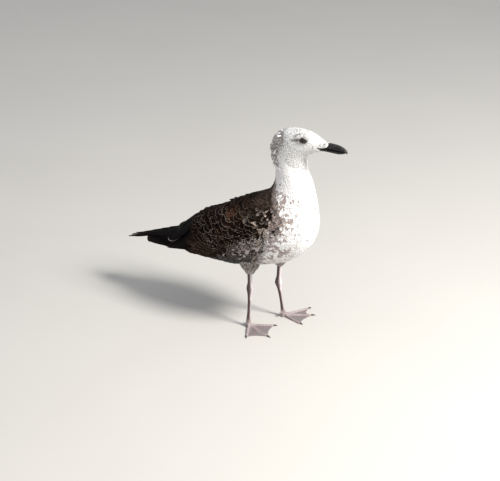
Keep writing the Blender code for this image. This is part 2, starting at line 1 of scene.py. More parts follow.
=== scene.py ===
"""Young gull standing at rest, life size: skin, feathers, bill, eyes and feet.

Metres, +Z up, bird looking along +X, left side to +Y; sizes in tables are millimetres.
The body is charted once, as rows from bill to tail and columns round it, and every
feather, a closed leaf-shaped mesh, is laid on that chart, so that it follows the form
and the lie of the coat.
"""

import json
import logging
import math
from collections.abc import Callable
from dataclasses import dataclass, field, replace
from enum import Enum

import bmesh
import bpy
import numpy as np
from mathutils import Matrix, Vector
from mathutils.bvhtree import BVHTree
from mathutils.kdtree import KDTree

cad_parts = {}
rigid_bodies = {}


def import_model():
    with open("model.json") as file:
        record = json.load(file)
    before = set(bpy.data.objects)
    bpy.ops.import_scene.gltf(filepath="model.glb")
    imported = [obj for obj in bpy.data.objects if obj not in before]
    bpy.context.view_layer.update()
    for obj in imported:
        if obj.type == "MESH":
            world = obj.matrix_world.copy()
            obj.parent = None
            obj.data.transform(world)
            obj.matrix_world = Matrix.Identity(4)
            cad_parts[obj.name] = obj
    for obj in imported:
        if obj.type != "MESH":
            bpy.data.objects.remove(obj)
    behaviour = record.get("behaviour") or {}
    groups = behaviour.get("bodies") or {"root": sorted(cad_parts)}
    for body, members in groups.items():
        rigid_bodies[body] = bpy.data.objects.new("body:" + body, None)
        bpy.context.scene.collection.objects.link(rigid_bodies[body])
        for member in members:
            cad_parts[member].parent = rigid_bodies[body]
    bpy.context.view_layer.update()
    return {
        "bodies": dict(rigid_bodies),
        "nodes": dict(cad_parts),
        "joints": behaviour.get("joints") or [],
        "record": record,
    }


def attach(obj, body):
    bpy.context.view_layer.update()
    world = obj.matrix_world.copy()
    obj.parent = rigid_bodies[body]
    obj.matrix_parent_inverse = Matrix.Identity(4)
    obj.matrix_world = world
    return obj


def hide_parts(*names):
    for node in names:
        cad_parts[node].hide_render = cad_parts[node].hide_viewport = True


MM = 0.001
MIDDLE = -15.88
SEED = 74
BAKE_MAP = "OFBake"
VANE_MAP = "Vane"
LOG = logging.getLogger("gull")

Array = np.ndarray
BMesh = bmesh.types.BMesh
Object = bpy.types.Object
Material = bpy.types.Material
Nodes = dict[str, Object]
Keys = tuple[float, ...]
Colour = tuple[float, float, float]

BLACK: Colour = (0.0, 0.0, 0.0)
WHITE: Colour = (0.88, 0.87, 0.86)
# Grey white: the thighs' own colour, and painted shade on the neck's sides and the belly.
GREY_WHITE_AND_PAINTED_SHADE: Colour = (0.60, 0.575, 0.565)
ASH: Colour = (0.23, 0.205, 0.190)
STREAK: Colour = (0.085, 0.062, 0.052)
FAWN: Colour = (0.31, 0.235, 0.212)
TAN: Colour = (0.165, 0.105, 0.068)
UMBER: Colour = (0.0120, 0.0060, 0.0037)
SOOT: Colour = (0.0026, 0.0018, 0.0018)
BUFF: Colour = (0.270, 0.208, 0.162)
RUST: Colour = (0.070, 0.034, 0.019)
PALE_FRINGE: Colour = (0.54, 0.47, 0.42)
MOTTLE: Colour = (0.37, 0.343, 0.33)


class Side(Enum):
    """Left or right of the bird, with its sign along Y."""

    LEFT = 1
    RIGHT = -1

    @property
    def word(self) -> str:
        """Return the side's name as node names spell it."""
        return self.name.lower()


class FeatherForm(Enum):
    """How finely a feather is made: segments round its section and along its length."""

    TUFT = (4, 3)
    PLUME = (6, 5)
    VANE = (8, 8)
    QUILL = (12, 26)


# ---------------- plain helpers


def ramp(low: float, high: float, at: Array) -> Array:
    """Return a smooth 0 to 1 ramp between low and high, which may fall instead of rise."""
    part = np.clip((at - low) / (high - low), 0.0, 1.0)
    return part * part * (3.0 - 2.0 * part)


def toward(colours: Array | Colour, colour: Colour, amount: Array | float) -> Array:
    """Mix one colour, or rows of colours, towards another by an amount for each row."""
    share = np.clip(amount, 0.0, 1.0)[..., None]
    return np.array(colours) * (1.0 - share) + np.array(colour) * share


def unit(vectors: Array) -> Array:
    """Return vectors scaled to length one along their last axis."""
    return vectors / np.maximum(np.linalg.norm(vectors, axis=-1, keepdims=True), 1e-12)


def curve(keys: Array, position: Array) -> Array:
    """Read a smooth curve through evenly spaced keys.

    Args:
        keys: One row of numbers for each key.
        position: Fractional key numbers.

    Returns:
        One row of numbers for each position.
    """
    last = len(keys) - 1
    position = np.clip(position, 0.0, float(last))
    cell = np.minimum(position.astype(int), last - 1)
    part = (position - cell)[:, None]
    before, start, end, after = (keys[np.clip(cell + step, 0, last)] for step in (-1, 0, 1, 2))
    return start + 0.5 * part * (
        end - before
        + part * (2 * before - 5 * start + 4 * end - after
                  + part * (3 * (start - end) + after - before)))


def value_noise(points: Array, cell: float, seed: int) -> Array:
    """Return smooth noise from 0 to 1 in space.

    Args:
        points: Places, one row each.
        cell: Size of a patch of the noise, in metres.
        seed: Which noise.

    Returns:
        One number for each point.
    """
    grid = points / cell
    base = np.floor(grid).astype(np.int64)
    part = grid - base
    part = part * part * (3.0 - 2.0 * part)
    total = np.zeros(len(points))
    for corner in range(8):
        step = np.array((corner & 1, corner >> 1 & 1, corner >> 2))
        key = base + step
        mixed = key[:, 0] * 73856093 ^ key[:, 1] * 19349663 ^ key[:, 2] * 83492791 ^ seed * 7919
        mixed = (mixed ^ mixed >> 13) * 1274126177 & 0x7FFFFFFF
        mixed = (mixed ^ mixed >> 15) % 65521
        total += np.where(step, part, 1.0 - part).prod(axis=1) * mixed / 65521.0
    return total


def spread(weight: Array, seed: int) -> tuple[Array, Array]:
    """Spread places over a grid so that their density follows a weight.

    Args:
        weight: Places wanted for each cell, rows by columns.
        seed: Which spread.

    Returns:
        Fractional rows and columns.
    """
    rng = np.random.default_rng(SEED + seed)
    count = int(weight.sum())
    order = np.arange(1, count + 1)
    first = np.mod(rng.random() + order * 0.7548776662466927, 1.0)
    second = np.mod(rng.random() + order * 0.5698402909980532, 1.0)
    rows = np.concatenate(([0.0], np.cumsum(weight.sum(axis=1))))
    row = np.interp(first * rows[-1], rows, np.arange(len(rows)) - 0.5)
    cells = np.clip(np.round(row), 0, weight.shape[0] - 1).astype(int)
    running = np.concatenate((np.zeros((len(weight), 1)), np.cumsum(weight, axis=1)), axis=1)
    column = np.empty(count)
    edges = np.arange(weight.shape[1] + 1) - 0.5
    for cell in np.unique(cells):
        here = cells == cell
        column[here] = np.interp(second[here] * running[cell, -1], running[cell], edges)
    return row, column


def turn_x(degrees: float) -> Matrix:
    """Return a turn about X."""
    return Matrix.Rotation(math.radians(degrees), 3, "X")


def tree_of(nodes: list[Object]) -> BVHTree:
    """Return a search tree over the faces of several nodes, in metres.

    Args:
        nodes: The nodes.

    Returns:
        The tree.
    """
    points, faces = [], []
    for node in nodes:
        first = len(points)
        points += [vert.co.copy() for vert in node.data.vertices]
        faces += [tuple(first + index for index in face.vertices) for face in node.data.polygons]
    return BVHTree.FromPolygons(points, faces)


def placed(name: str, mesh: bpy.types.Mesh) -> Object:
    """Put a mesh into the scene, smooth-shaded, as an object at the origin.

    Args:
        name: The object's name.
        mesh: The mesh.

    Returns:
        The object.
    """
    mesh.shade_smooth()
    made = bpy.data.objects.new(name, mesh)
    bpy.context.scene.collection.objects.link(made)
    return made


def from_bmesh(name: str, work: BMesh) -> Object:
    """Turn a bmesh, which is freed, into a smooth-shaded object of the scene.

    Args:
        name: The object's name.
        work: The bmesh.

    Returns:
        The object.
    """
    mesh = bpy.data.meshes.new(name)
    work.to_mesh(mesh)
    work.free()
    return placed(name, mesh)


def pour(source: BMesh, target: BMesh) -> None:
    """Add one bmesh, which is freed, to another.

    Args:
        source: The one to add.
        target: The one to add it to.
    """
    part = bpy.data.meshes.new("part")
    source.to_mesh(part)
    source.free()
    target.from_mesh(part)
    bpy.data.meshes.remove(part)


def dressed(piece: Object, material: Material, slot: str, *stands_for: str) -> Object:
    """Give a finished piece its material and its body.

    Args:
        piece: The piece.
        material: Its material.
        slot: The record's material slot; not used.
        *stands_for: CAD nodes that it replaces.

    Returns:
        The piece.
    """
    piece.data.materials.append(material)
    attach(piece, "root")
    if stands_for:
        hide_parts(*stands_for)
    LOG.info("%s: %d faces", piece.name, len(piece.data.polygons))
    return piece


def shrunk(name: str, work: BMesh, centre: Keys = (0.0, 0.0, 0.0)) -> Object:
    """Turn a bmesh in millimetres into an object in metres, moved to its centre.

    Args:
        name: The object's name.
        work: The bmesh, which is freed.
        centre: Its place, in millimetres.

    Returns:
        The object.
    """
    bmesh.ops.scale(work, verts=work.verts, vec=(MM, MM, MM))
    bmesh.ops.translate(work, verts=work.verts, vec=Vector(centre) * MM)
    bmesh.ops.recalc_face_normals(work, faces=work.faces)
    return from_bmesh(name, work)


def merged_copy(nodes: list[Object], swell: float) -> BMesh:
    """Copy nodes into one bmesh with their loose triangles merged.

    Args:
        nodes: The CAD nodes.
        swell: How far each solid is grown, so that neighbours close their gap.

    Returns:
        The copy.
    """
    work = bmesh.new()
    for node in nodes:
        one = bmesh.new()
        one.from_mesh(node.data)
        bmesh.ops.remove_doubles(one, verts=one.verts, dist=1e-6)
        one.normal_update()
        for vert, move in [(vert, vert.normal * swell) for vert in one.verts]:
            vert.co += move
        pour(one, work)
    return work


def voxel_mesh(work: BMesh, voxel: float, smoothing: int) -> BMesh:
    """Fuse closed solids into one even-grained surface.

    Args:
        work: The solids, freed here.
        voxel: Grain of the surface, in metres.
        smoothing: Rounds of smoothing afterwards.

    Returns:
        The fused surface.
    """
    rough = from_bmesh("rough", work)
    remesh = rough.modifiers.new("fuse", "REMESH")
    remesh.mode = "VOXEL"
    remesh.voxel_size = voxel
    shape = rough.evaluated_get(bpy.context.evaluated_depsgraph_get())
    fused = bmesh.new()
    fused.from_mesh(shape.to_mesh())
    shape.to_mesh_clear()
    bpy.data.objects.remove(rough)
    for _ in range(smoothing):
        bmesh.ops.smooth_vert(fused, verts=fused.verts, factor=0.5, use_axis_x=True,
                              use_axis_y=True, use_axis_z=True)
    fused.normal_update()
    return fused


# ---------------- the finishes


@dataclass
class Signal:
    """A node's output that takes part in sums, so that a material reads as a formula."""

    board: "NodeBoard"
    socket: bpy.types.NodeSocket

    def __add__(self, other: object) -> "Signal":
        """Return the sum."""
        return self.board.math("ADD", self, other)

    def __sub__(self, other: object) -> "Signal":
        """Return the difference."""
        return self.board.math("SUBTRACT", self, other)

    def __rsub__(self, other: float) -> "Signal":
        """Return a number less this."""
        return self.board.math("SUBTRACT", other, self)

    def __mul__(self, other: object) -> "Signal":
        """Return the product."""
        return self.board.math("MULTIPLY", self, other)

    def __truediv__(self, other: object) -> "Signal":
        """Return the quotient."""
        return self.board.math("DIVIDE", self, other)

    def __pow__(self, other: object) -> "Signal":
        """Return the power."""
        return self.board.math("POWER", self, other)


class NodeBoard:
    """Builds one Principled material's nodes in short steps."""

    def __init__(self, name: str) -> None:
        """Start a material of this name."""
        self.material = bpy.data.materials.new(name)
        self.material.use_nodes = True
        self.tree = self.material.node_tree
        self.shader = self.tree.nodes["Principled BSDF"]
        self.place = self.add("TexCoord", output="Object")

    def plug(self, socket: bpy.types.NodeSocket, value: object) -> None:
        """Link a signal to a socket, or set a number, a vector or a colour on it.

        Args:
            socket: The socket.
            value: What it takes.
        """
        if isinstance(value, Signal):
            self.tree.links.new(value.socket, socket)
        else:
            socket.default_value = (*value, 1.0) if socket.type == "RGBA" else value

    def add(self, kind: str, inputs: dict | None = None, output: int | str = 0,
            **settings) -> Signal:
        """Add a node.

        Args:
            kind: The shader node's type.
            inputs: Values or signals, by input name or number.
            output: Which output to return.
            **settings: The node's own properties.

        Returns:
            The output.
        """
        node = self.tree.nodes.new("ShaderNode" + kind)
        for key, value in settings.items():
            setattr(node, key, value)
        for key, value in (inputs or {}).items():
            self.plug(node.inputs[key], value)
        return Signal(self, node.outputs[output])

    def math(self, operation: str, first: object, second: object = 0.0) -> Signal:
        """Return the result of a Math node."""
        return self.add("Math", {0: first, 1: second}, operation=operation)

    def mix(self, share: object, first: object, second: object, blend: str = "MIX") -> Signal:
        """Return a mix of two colours, with this share of the second."""
        return self.add("Mix", {0: share, 6: first, 7: second}, 2, data_type="RGBA",
                        blend_type=blend)

    def ease(self, value: Signal, low: float, high: float) -> Signal:
        """Return a smooth 0 to 1 step between low and high."""
        return self.add("MapRange", {0: value, 1: low, 2: high}, interpolation_type="SMOOTHSTEP")

    def noise(self, scale: float, detail: float = 2.0, stretch: Keys = ()) -> Signal:
        """Return noise over the object, stretched by a scale on each axis if given."""
        place = self.add("Mapping", {0: self.place, 3: stretch}) if stretch else self.place
        return self.add("TexNoise", {"Vector": place, "Scale": scale, "Detail": detail}, "Fac")

    def cells(self, scale: float, feature: str) -> Signal:
        """Return distances in cells over the object."""
        return self.add("TexVoronoi", {"Vector": self.place, "Scale": scale}, "Distance",
                        feature=feature)

    def attribute(self, name: str, output: str = "Fac") -> Signal:
        """Return a named mesh attribute."""
        return self.add("Attribute", None, output, attribute_name=name)

    def finish(self, tone: Signal, roughness: float | Signal, specular: float,
               relief: tuple[Signal, float, float] | None = None, sheen: float = 0.0,
               coat: float = 0.0) -> Material:
        """Join everything to the shader.

        Args:
            tone: The colour.
            roughness: Its roughness.
            specular: Its specular level.
            relief: Height, strength and distance in metres of a bump.
            sheen: Sheen weight.
            coat: Coat weight.

        Returns:
            The material.
        """
        if relief:
            bump = self.add("Bump", dict(zip(("Height", "Strength", "Distance"), relief)))
            self.plug(self.shader.inputs["Normal"], bump)
        for key, value in (("Base Color", tone), ("Roughness", roughness),
                           ("Specular IOR Level", specular), ("Sheen Weight", sheen),
                           ("Coat Weight", coat)):
            self.plug(self.shader.inputs[key], value)
        return self.material


@dataclass(frozen=True)
class FeatherFinish:
    """Vane of a feather: a core, a brown band, a pale fringe along its edge, shaft and barbs.

    Aspect is the feather's length over half its width, so that the fringe is as wide
    round the tip as it is along the sides.
    """

    name: str
    roughness: float
    sheen: float
    barbs: float
    shaft: float
    bump: float
    shade: float
    aspect: float = 3.0
    halo: float = 0.0
    specular: float = 0.2

    def material(self) -> Material:
        """Return the feather material."""
        board = NodeBoard(self.name)
        place = board.add("UVMap", uv_map=VANE_MAP)
        across, along = (board.add("SeparateXYZ", {0: place}, axis) for axis in (0, 1))
        off_shaft = board.math("ABSOLUTE", across - 0.5) * 2.0
        wobble = board.noise(260.0)
        slant = along * 3.0 + off_shaft * -0.9 + wobble * 0.35
        ridges = (board.math("SINE", slant * self.barbs) + 1.0) * 0.5
        width = board.attribute("rim_width")
        inward = board.math("MINIMUM", (1.0 - off_shaft) * (1.0 - along ** 6.0) ** 0.55,
                            (1.0 - along) * self.aspect) + (wobble - 0.5) * (width * 0.9)
        core = board.mix(board.ease(inward, 0.66, 0.30) * self.halo,
                         board.attribute("core", "Color"), (2.6, 2.1, 1.75), "MULTIPLY")
        tone = board.mix(board.ease(inward / (width + 0.005), 1.1, 0.65), core,
                         board.attribute("rim", "Color"))
        cloud = board.ease(board.noise(90.0, 3.0), 0.35, 0.75)
        for share, colour in ((board.ease(off_shaft, 0.10, 0.02) * self.shaft, SOOT),
                              (ridges * (0.8 * self.shade), BLACK),
                              (cloud * self.shade, BLACK)):
            tone = board.mix(share, tone, colour)
        return board.finish(tone, self.roughness, self.specular, (ridges, self.bump, 0.0002),
                            self.sheen)


@dataclass(frozen=True)
class SkinFinish:
    """Downy skin under the feathers, with the coat's own markings."""

    name: str = "downy_skin"

    def material(self) -> Material:
        """Return the skin material."""
        board = NodeBoard(self.name)
        grain = board.noise(900.0, 3.0)
        tone = board.mix(grain * 0.35, board.attribute("tint", "Color"), (0.02, 0.016, 0.014))
        return board.finish(tone, 0.9, 0.2, (grain, 0.5, 0.0004), 0.2)


@dataclass(frozen=True)
class LegFinish:
    """Scaly pink-grey skin of legs, toes and webs."""

    name: str = "leg_skin_scaled"
    dusk: Colour = (0.150, 0.098, 0.092)
    fair: Colour = (0.27, 0.20, 0.19)

    def material(self) -> Material:
        """Return the leg material."""
        board = NodeBoard(self.name)
        seams = board.ease(board.cells(620.0, "DISTANCE_TO_EDGE"), 0.22, 0.02)
        stain = board.ease(board.noise(75.0, 4.0), 0.45, 0.72)
        fine = board.noise(1500.0)
        tone = board.attribute("tint", "Color")
        for share, colour in ((stain * 0.35, self.dusk),
                              (board.attribute("groove") * 0.50, self.dusk),
                              (seams * 0.30, self.dusk), (fine * 0.20, self.fair)):
            tone = board.mix(share, tone, colour)
        return board.finish(tone, 0.52, 0.45, (fine - seams, 0.55, 0.00025))


@dataclass(frozen=True)
class HornFinish:
    """Dark horn of bill and claws, with paler streaks, paler towards the bill's tip, and a
    painted sheen along its top.
    """

    name: str
    dark: Colour
    # Paler horn of the streaks and the tip, also the colour of the painted sheen.
    worn_and_sheen: Colour
    roughness: float
    grain: float

    def material(self) -> Material:
        """Return the horn material."""
        board = NodeBoard(self.name)
        streaks = board.noise(self.grain, 5.0, (0.25, 1.0, 1.0))
        tone = board.mix(board.ease(streaks, 0.45, 0.78), self.dark, self.worn_and_sheen)
        # Painted sheen along the top of the bill, and paler horn towards its tip.
        tone = board.mix(board.attribute("culmen_sheen_and_wear") * 0.5, tone, self.worn_and_sheen)
        rough = board.add("MapRange", {0: streaks, 3: self.roughness - 0.07,
                                       4: self.roughness + 0.12})
        return board.finish(tone, rough, 0.35, (streaks, 0.25, 0.0003))


@dataclass(frozen=True)
class EyeFinish:
    """Wet dark eye: a brown iris round a black pupil, by distance from the pupil's middle."""

    name: str = "wet_eye"
    iris: Colour = (0.014, 0.008, 0.006)

    def material(self) -> Material:
        """Return the eye material."""
        board = NodeBoard(self.name)
        ring = board.attribute("pupil") + board.noise(2200.0, 3.0) * 0.05
        tone = board.mix(board.ease(ring, 0.42, 0.48), (0.002, 0.002, 0.002), self.iris)
        tone = board.mix(board.ease(ring, 0.86, 1.0), tone, (0.004, 0.003, 0.003))
        return board.finish(tone, 0.07, 0.45, coat=0.25)


@dataclass(frozen=True)
class LidFinish:
    """Skin of the eyelids: bare, dusky and beaded at the opening, then paler down."""

    name: str = "lid_skin"
    dusk: Colour = (0.016, 0.013, 0.013)
    down: Colour = (0.20, 0.18, 0.17)

    def material(self) -> Material:
        """Return the lid material."""
        board = NodeBoard(self.name)
        beads = board.cells(1900.0, "F1")
        bare = board.mix(board.ease(beads, 0.1, 0.7), self.dusk, (0.055, 0.046, 0.043))
        tufted = board.mix(board.noise(1400.0, 3.0), self.down, (0.42, 0.40, 0.38))
        tone = board.mix(board.ease(board.attribute("outward"), 0.45, 0.80), bare, tufted)
        return board.finish(tone, 0.6, 0.3, (beads, 0.5, 0.0002))


@dataclass(frozen=True)
class DarkVaneFinish:
    """Black-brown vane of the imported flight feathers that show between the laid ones."""

    name: str = "dark_vane_core"

    def material(self) -> Material:
        """Return the material."""
        board = NodeBoard(self.name)
        streaks = board.noise(500.0, 3.0, (0.2, 1.0, 1.0))
        tone = board.mix(streaks, (0.003, 0.0022, 0.0022), (0.008, 0.006, 0.0055))
        return board.finish(tone, 0.6, 0.05, (streaks, 0.3, 0.0002))


@dataclass(frozen=True)
class FloorFinish:
    """Pale matt floor."""

    name: str = "pale_floor"

    def material(self) -> Material:
        """Return the floor material."""
        board = NodeBoard(self.name)
        tone = board.mix(board.noise(3.0, 4.0), (0.47, 0.455, 0.43), (0.51, 0.495, 0.47))
        return board.finish(tone, 0.85, 0.2)


# ---------------- charts of the form


@dataclass
class Chart:
    """A surface laid out in rows, from front to rear, and columns across or round it.

    Attributes:
        place: Points of the grid, rows by columns by three, in metres.
        closed: Whether the columns run right round and meet.
        facing: -1 where the outside is on the other side of the grid.
    """

    place: Array
    closed: bool = True
    facing: float = 1.0
    normal: Array = field(init=False)
    row_step: Array = field(init=False)
    column_step: Array = field(init=False)

    def __post_init__(self) -> None:
        """Work out normals, and metres for each row and column."""
        along = np.gradient(self.place, axis=0)
        if self.closed:
            across = (np.roll(self.place, -1, 1) - np.roll(self.place, 1, 1)) / 2.0
        else:
            across = np.gradient(self.place, axis=1)
        self.normal = self.facing * unit(self.blurred(unit(np.cross(across, along))))
        self.row_step = np.maximum(np.linalg.norm(along, axis=2), 0.25 * MM)
        self.column_step = np.maximum(np.linalg.norm(across, axis=2), 0.08 * MM)

    def blurred(self, grid: Array) -> Array:
        """Return a grid, with or without a last axis, smoothed twice over its neighbours.

        Args:
            grid: Values, rows by columns.

        Returns:
            The smoothed grid.
        """
        for _ in range(2):
            longer = np.concatenate((grid[:1], grid, grid[-1:]))
            grid = (longer[:-2] + 2.0 * longer[1:-1] + longer[2:]) / 4.0
            ends = (grid[:, -1:], grid[:, :1]) if self.closed else (grid[:, :1], grid[:, -1:])
            wide = np.concatenate((ends[0], grid, ends[1]), axis=1)
            grid = (wide[:, :-2] + 2.0 * wide[:, 1:-1] + wide[:, 2:]) / 4.0
        return grid

    def settled(self, nodes: list[Object], reach: Array) -> "Chart":
        """Return the chart pressed onto solids, from outside.

        Args:
            nodes: The solids.
            reach: How far outside each row the search starts.

        Returns:
            The new chart.
        """
        tree = tree_of(nodes)
        height = np.zeros(self.place.shape[:2])
        for row, column in np.ndindex(height.shape):
            normal = self.normal[row, column]
            start = self.place[row, column] + normal * reach[row]
            hit = tree.ray_cast(Vector(start), Vector(-normal), reach[row] + 4.0 * MM)
            if hit[0] is not None:
                height[row, column] = reach[row] - hit[3]
        return replace(self, place=self.place + self.normal * self.blurred(height)[..., None])

    def read(self, grid: Array, row: Array, column: Array) -> Array:
        """Read a grid between its points.

        Args:
            grid: Values, rows by columns, with or without a last axis.
            row: Fractional rows; past the ends it goes straight on.
            column: Fractional columns.

        Returns:
            The values.
        """
        rows, columns = self.place.shape[:2]
        if self.closed:
            column = np.mod(column, columns)
        low = np.clip(np.floor(row), 0, rows - 2).astype(int)
        left = np.clip(np.floor(column), 0, columns - (1 if self.closed else 2)).astype(int)
        right = (left + 1) % columns
        down, over = row - low, column - left
        if grid.ndim == 3:
            down, over = down[..., None], over[..., None]
        near = grid[low, left] * (1 - over) + grid[low, right] * over
        far = grid[low + 1, left] * (1 - over) + grid[low + 1, right] * over
        return near * (1 - down) + far * down

    def at(self, row: Array, column: Array, height: Array | float = 0.0) -> Array:
        """Return points at a height over the surface."""
        inside = np.clip(row, 0, len(self.place) - 1)
        normal = unit(self.read(self.normal, inside, column))
        return self.read(self.place, row, column) + normal * np.asarray(height)[..., None]

    def moved(self, row: Array, column: Array, back: Array, aside: Array) -> tuple[Array, Array]:
        """Return rows and columns moved by metres."""
        inside = np.clip(row, 0, len(self.place) - 1)
        return (row + back / self.read(self.row_step, inside, column),
                column + aside / self.read(self.column_step, inside, column))

    def sown(self, apart: Array | float, inside: Array | bool, seed: int) -> tuple[Array, Array]:
        """Spread roots so far apart, where inside is true."""
        weight = self.row_step * self.column_step / (0.87 * apart ** 2)
        return spread(np.where(inside, weight, 0.0), seed)

    def paced(self, first: float, last: float,
              pace: Callable[[float], tuple[float, float]]) -> Array:
        """Return rows from first until one is past last.

        Args:
            first: Row to start from.
            last: Row to pass.
            pace: Gives, for a row, the metres to the next and the column to measure on.

        Returns:
            The rows.
        """
        rows = [first]
        while rows[-1] < last:
            apart, column = pace(rows[-1])
            rows.append(rows[-1] + apart / self.row_step[int(rows[-1]), int(column)])
        return np.array(rows)


@dataclass
class BodyShape:
    """Outline of the bird's body from bill to tail, and its chart.

    Each station gives the back's x and z, the belly's x and z and half the width there.
    Station -1 lies on the bill, 0 at its base, 3 at the eye, 8 at the throat, 14 at the
    wing's bend and 25 at the end of the body. Angles are degrees round from the back,
    minus on the right side.
    """

    stations: tuple[Keys, ...] = (
        (194.05, 360.9, 186.05, 344.6, 6.3), (184.05, 359.0, 177.05, 344.0, 7.8),
        (174.05, 364.0, 171.05, 341.0, 12.5),
        (164.05, 368.8, 162.05, 337.5, 15.6), (152.55, 372.5, 155.55, 334.0, 18.2),
        (138.55, 374.0, 149.55, 328.5, 20.6), (121.55, 373.7, 147.05, 322.5, 22.2),
        (104.55, 369.5, 147.05, 317.0, 23.2), (91.05, 355.0, 148.05, 311.5, 23.8),
        (85.05, 337.0, 149.05, 305.0, 24.0), (89.05, 320.0, 150.05, 297.0, 24.6),
        (94.05, 303.5, 157.05, 284.5, 26.5), (95.55, 288.0, 161.05, 267.5, 30.0),
        (91.55, 274.0, 165.05, 247.5, 35.5), (83.05, 262.5, 168.05, 222.5, 42.5),
        (72.55, 255.0, 168.05, 198.0, 48.5), (60.05, 248.5, 160.55, 174.0, 52.5),
        (44.55, 240.5, 144.05, 153.5, 54.5), (26.55, 232.5, 121.55, 136.5, 55.0),
        (6.05, 222.0, 94.55, 126.5, 53.5), (-16.45, 206.0, 62.55, 117.0, 50.5),
        (-40.45, 195.0, 28.55, 108.5, 45.5), (-63.45, 183.5, -4.45, 105.5, 39.0),
        (-83.45, 160.5, -36.45, 104.5, 32.0), (-99.45, 139.0, -68.45, 104.5, 25.0),
        (-112.45, 126.0, -97.45, 107.5, 18.0), (-121.45, 117.0, -117.45, 109.5, 11.0))
    power: float = 2.15
    rows_each: int = 10
    columns: int = 144
    upper_keys: Keys = (10.1, 10.9, 11.6, 12.3, 12.8, 13.5, 14.2, 15.0, 15.6,
                        17.4, 18.5, 19.4, 20.3, 21.4, 23.4, 25.0)
    upper_ends: Keys = (0.0, 24.0, 42.0, 60.0, 76.0, 87.0, 92.0, 93.0, 91.0,
                        89.0, 94.0, 102.0, 117.0, 132.0, 136.0, 140.0)

    def chart(self, flesh: list[Object]) -> Chart:
        """Return the body's chart, settled onto the nodes of body and wings.

        Args:
            flesh: The body and wing nodes.

        Returns:
            The chart.
        """
        position = np.arange((len(self.stations) - 1) * self.rows_each + 1) / self.rows_each
        ring = curve(np.array(self.stations), position)
        turn = np.arange(self.columns) * 2.0 * math.pi / self.columns
        up, out = (np.sign(wave) * np.abs(wave) ** (2.0 / self.power)
                   for wave in (np.cos(turn), np.sin(turn)))
        top, low, half = ring[:, 0:2], ring[:, 2:4], ring[:, 4:]
        middle, reach = (top + low) / 2.0, (top - low) / 2.0
        place = np.stack((middle[:, :1] + reach[:, :1] * up, MIDDLE + half * out,
                          middle[:, 1:] + reach[:, 1:] * up), axis=2)
        outside = np.interp(position - 1.0, (11.5, 13.0), (1.5, 9.0)) * MM
        return Chart(place * MM).settled(flesh, outside)

    def station(self, row: Array) -> Array:
        """Return station numbers for rows."""
        return row / self.rows_each - 1.0

    def row(self, station: Array | float) -> Array | float:
        """Return rows for station numbers."""
        return (station + 1.0) * self.rows_each

    def angle(self, column: Array) -> Array:
        """Return angles for columns."""
        degrees = np.mod(column, self.columns) * 360.0 / self.columns
        return np.where(degrees > 180.0, degrees - 360.0, degrees)

    def side(self, column: Array) -> Array:
        """Return 1 for columns on the left and -1 on the right."""
        return np.where(self.angle(column) >= 0.0, 1.0, -1.0)

    def column(self, angle: Array | float) -> Array | float:
        """Return columns for angles."""
        return angle * self.columns / 360.0

    def border(self, station: Array) -> Array:
        """Return the angles where the dark upper side ends."""
        return np.interp(station, self.upper_keys, self.upper_ends)

    def edge_column(self, row: float, above: float = 0.0) -> float:
        """Return the column where the dark upper side ends, or some degrees above it."""
        return self.column(self.border(self.station(row)) - above)

    def grid(self, chart: Chart) -> tuple[Array, Array]:
        """Return the chart's stations, as rows, and its angles away from the back."""
        rows, columns = (np.arange(count) for count in chart.place.shape[:2])
        return self.station(rows)[:, None], np.abs(self.angle(columns))[None, :]


def sheet(edges: list[Keys], arch: float, facing: float) -> Chart:
    """Chart a flat run of flight feathers.

    Args:
        edges: x, y and z of both edges, in millimetres, evenly spaced from root to tip.
        arch: How far the middle stands over the edges, in millimetres.
        facing: 1 or -1, as in a chart.

    Returns:
        The chart, with column 0 along the first edge.
    """
    line = curve(np.array(edges), np.linspace(0.0, len(edges) - 1.0, 61))
    share = np.linspace(0.0, 1.0, 21)[None, :, None]
    place = (line[:, None, :3] * (1.0 - share) + line[:, None, 3:] * share) * MM
    bulge = arch * MM * (1.0 - (2.0 * share - 1.0) ** 2)
    return Chart(place + Chart(place, False).normal * bulge, False, facing)


# ---------------- feathers


class Leaf:
    """One feather's closed mesh, flattened from a ball, with its own places along it."""

    def __init__(self, form: FeatherForm, root: float, tip: float) -> None:
        """Make the leaf.

        Args:
            form: How finely it is divided.
            root: How quickly the vane widens from the quill: smaller is quicker.
            tip: How blunt the tip is: larger is blunter.
        """
        work = bmesh.new()
        around, along = form.value
        bmesh.ops.create_uvsphere(work, u_segments=around, v_segments=along, radius=1.0)
        bmesh.ops.recalc_face_normals(work, faces=work.faces)
        layer = work.loops.layers.uv.new(VANE_MAP)
        for face in work.faces:
            reach = {loop: math.hypot(*loop.vert.co.xy) for loop in face.loops}
            sides = {loop: loop.vert.co.y / far for loop, far in reach.items() if far >= 1e-4}
            middle = sum(sides.values()) / len(sides)
            for loop in reach:
                loop[layer].uv = (0.5 + 0.5 * sides.get(loop, middle), 0.5 - 0.5 * loop.vert.co.z)
        co = np.array([vert.co for vert in work.verts])
        self.mesh = bpy.data.meshes.new("leaf")
        work.to_mesh(self.mesh)
        work.free()
        ring = np.hypot(co[:, 0], co[:, 1])
        whole = ring > 1e-4
        ring = np.where(whole, ring, 1.0)
        self.over, self.across = (np.where(whole, co[:, axis] / ring, 0.0) for axis in (0, 1))
        self.along = np.clip(0.5 - 0.5 * co[:, 2], 0.0, 1.0)
        self.stops, self.stop = np.unique(np.round(self.along, 6), return_inverse=True)
        outline = self.outline(self.along, root, tip)
        outline /= self.outline(np.linspace(0.01, 0.99, 99), root, tip).max()
        self.half = np.where(whole, outline, 0.0)
        self.body = np.sqrt(np.clip(self.half, 0.0, 1.0))

    @staticmethod
    def outline(along: Array, root: float, tip: float) -> Array:
        """Return the vane's width along a feather, before it is set to 1 at its widest."""
        return along ** root * np.clip(1.0 - along ** tip, 0.0, 1.0) ** 0.55


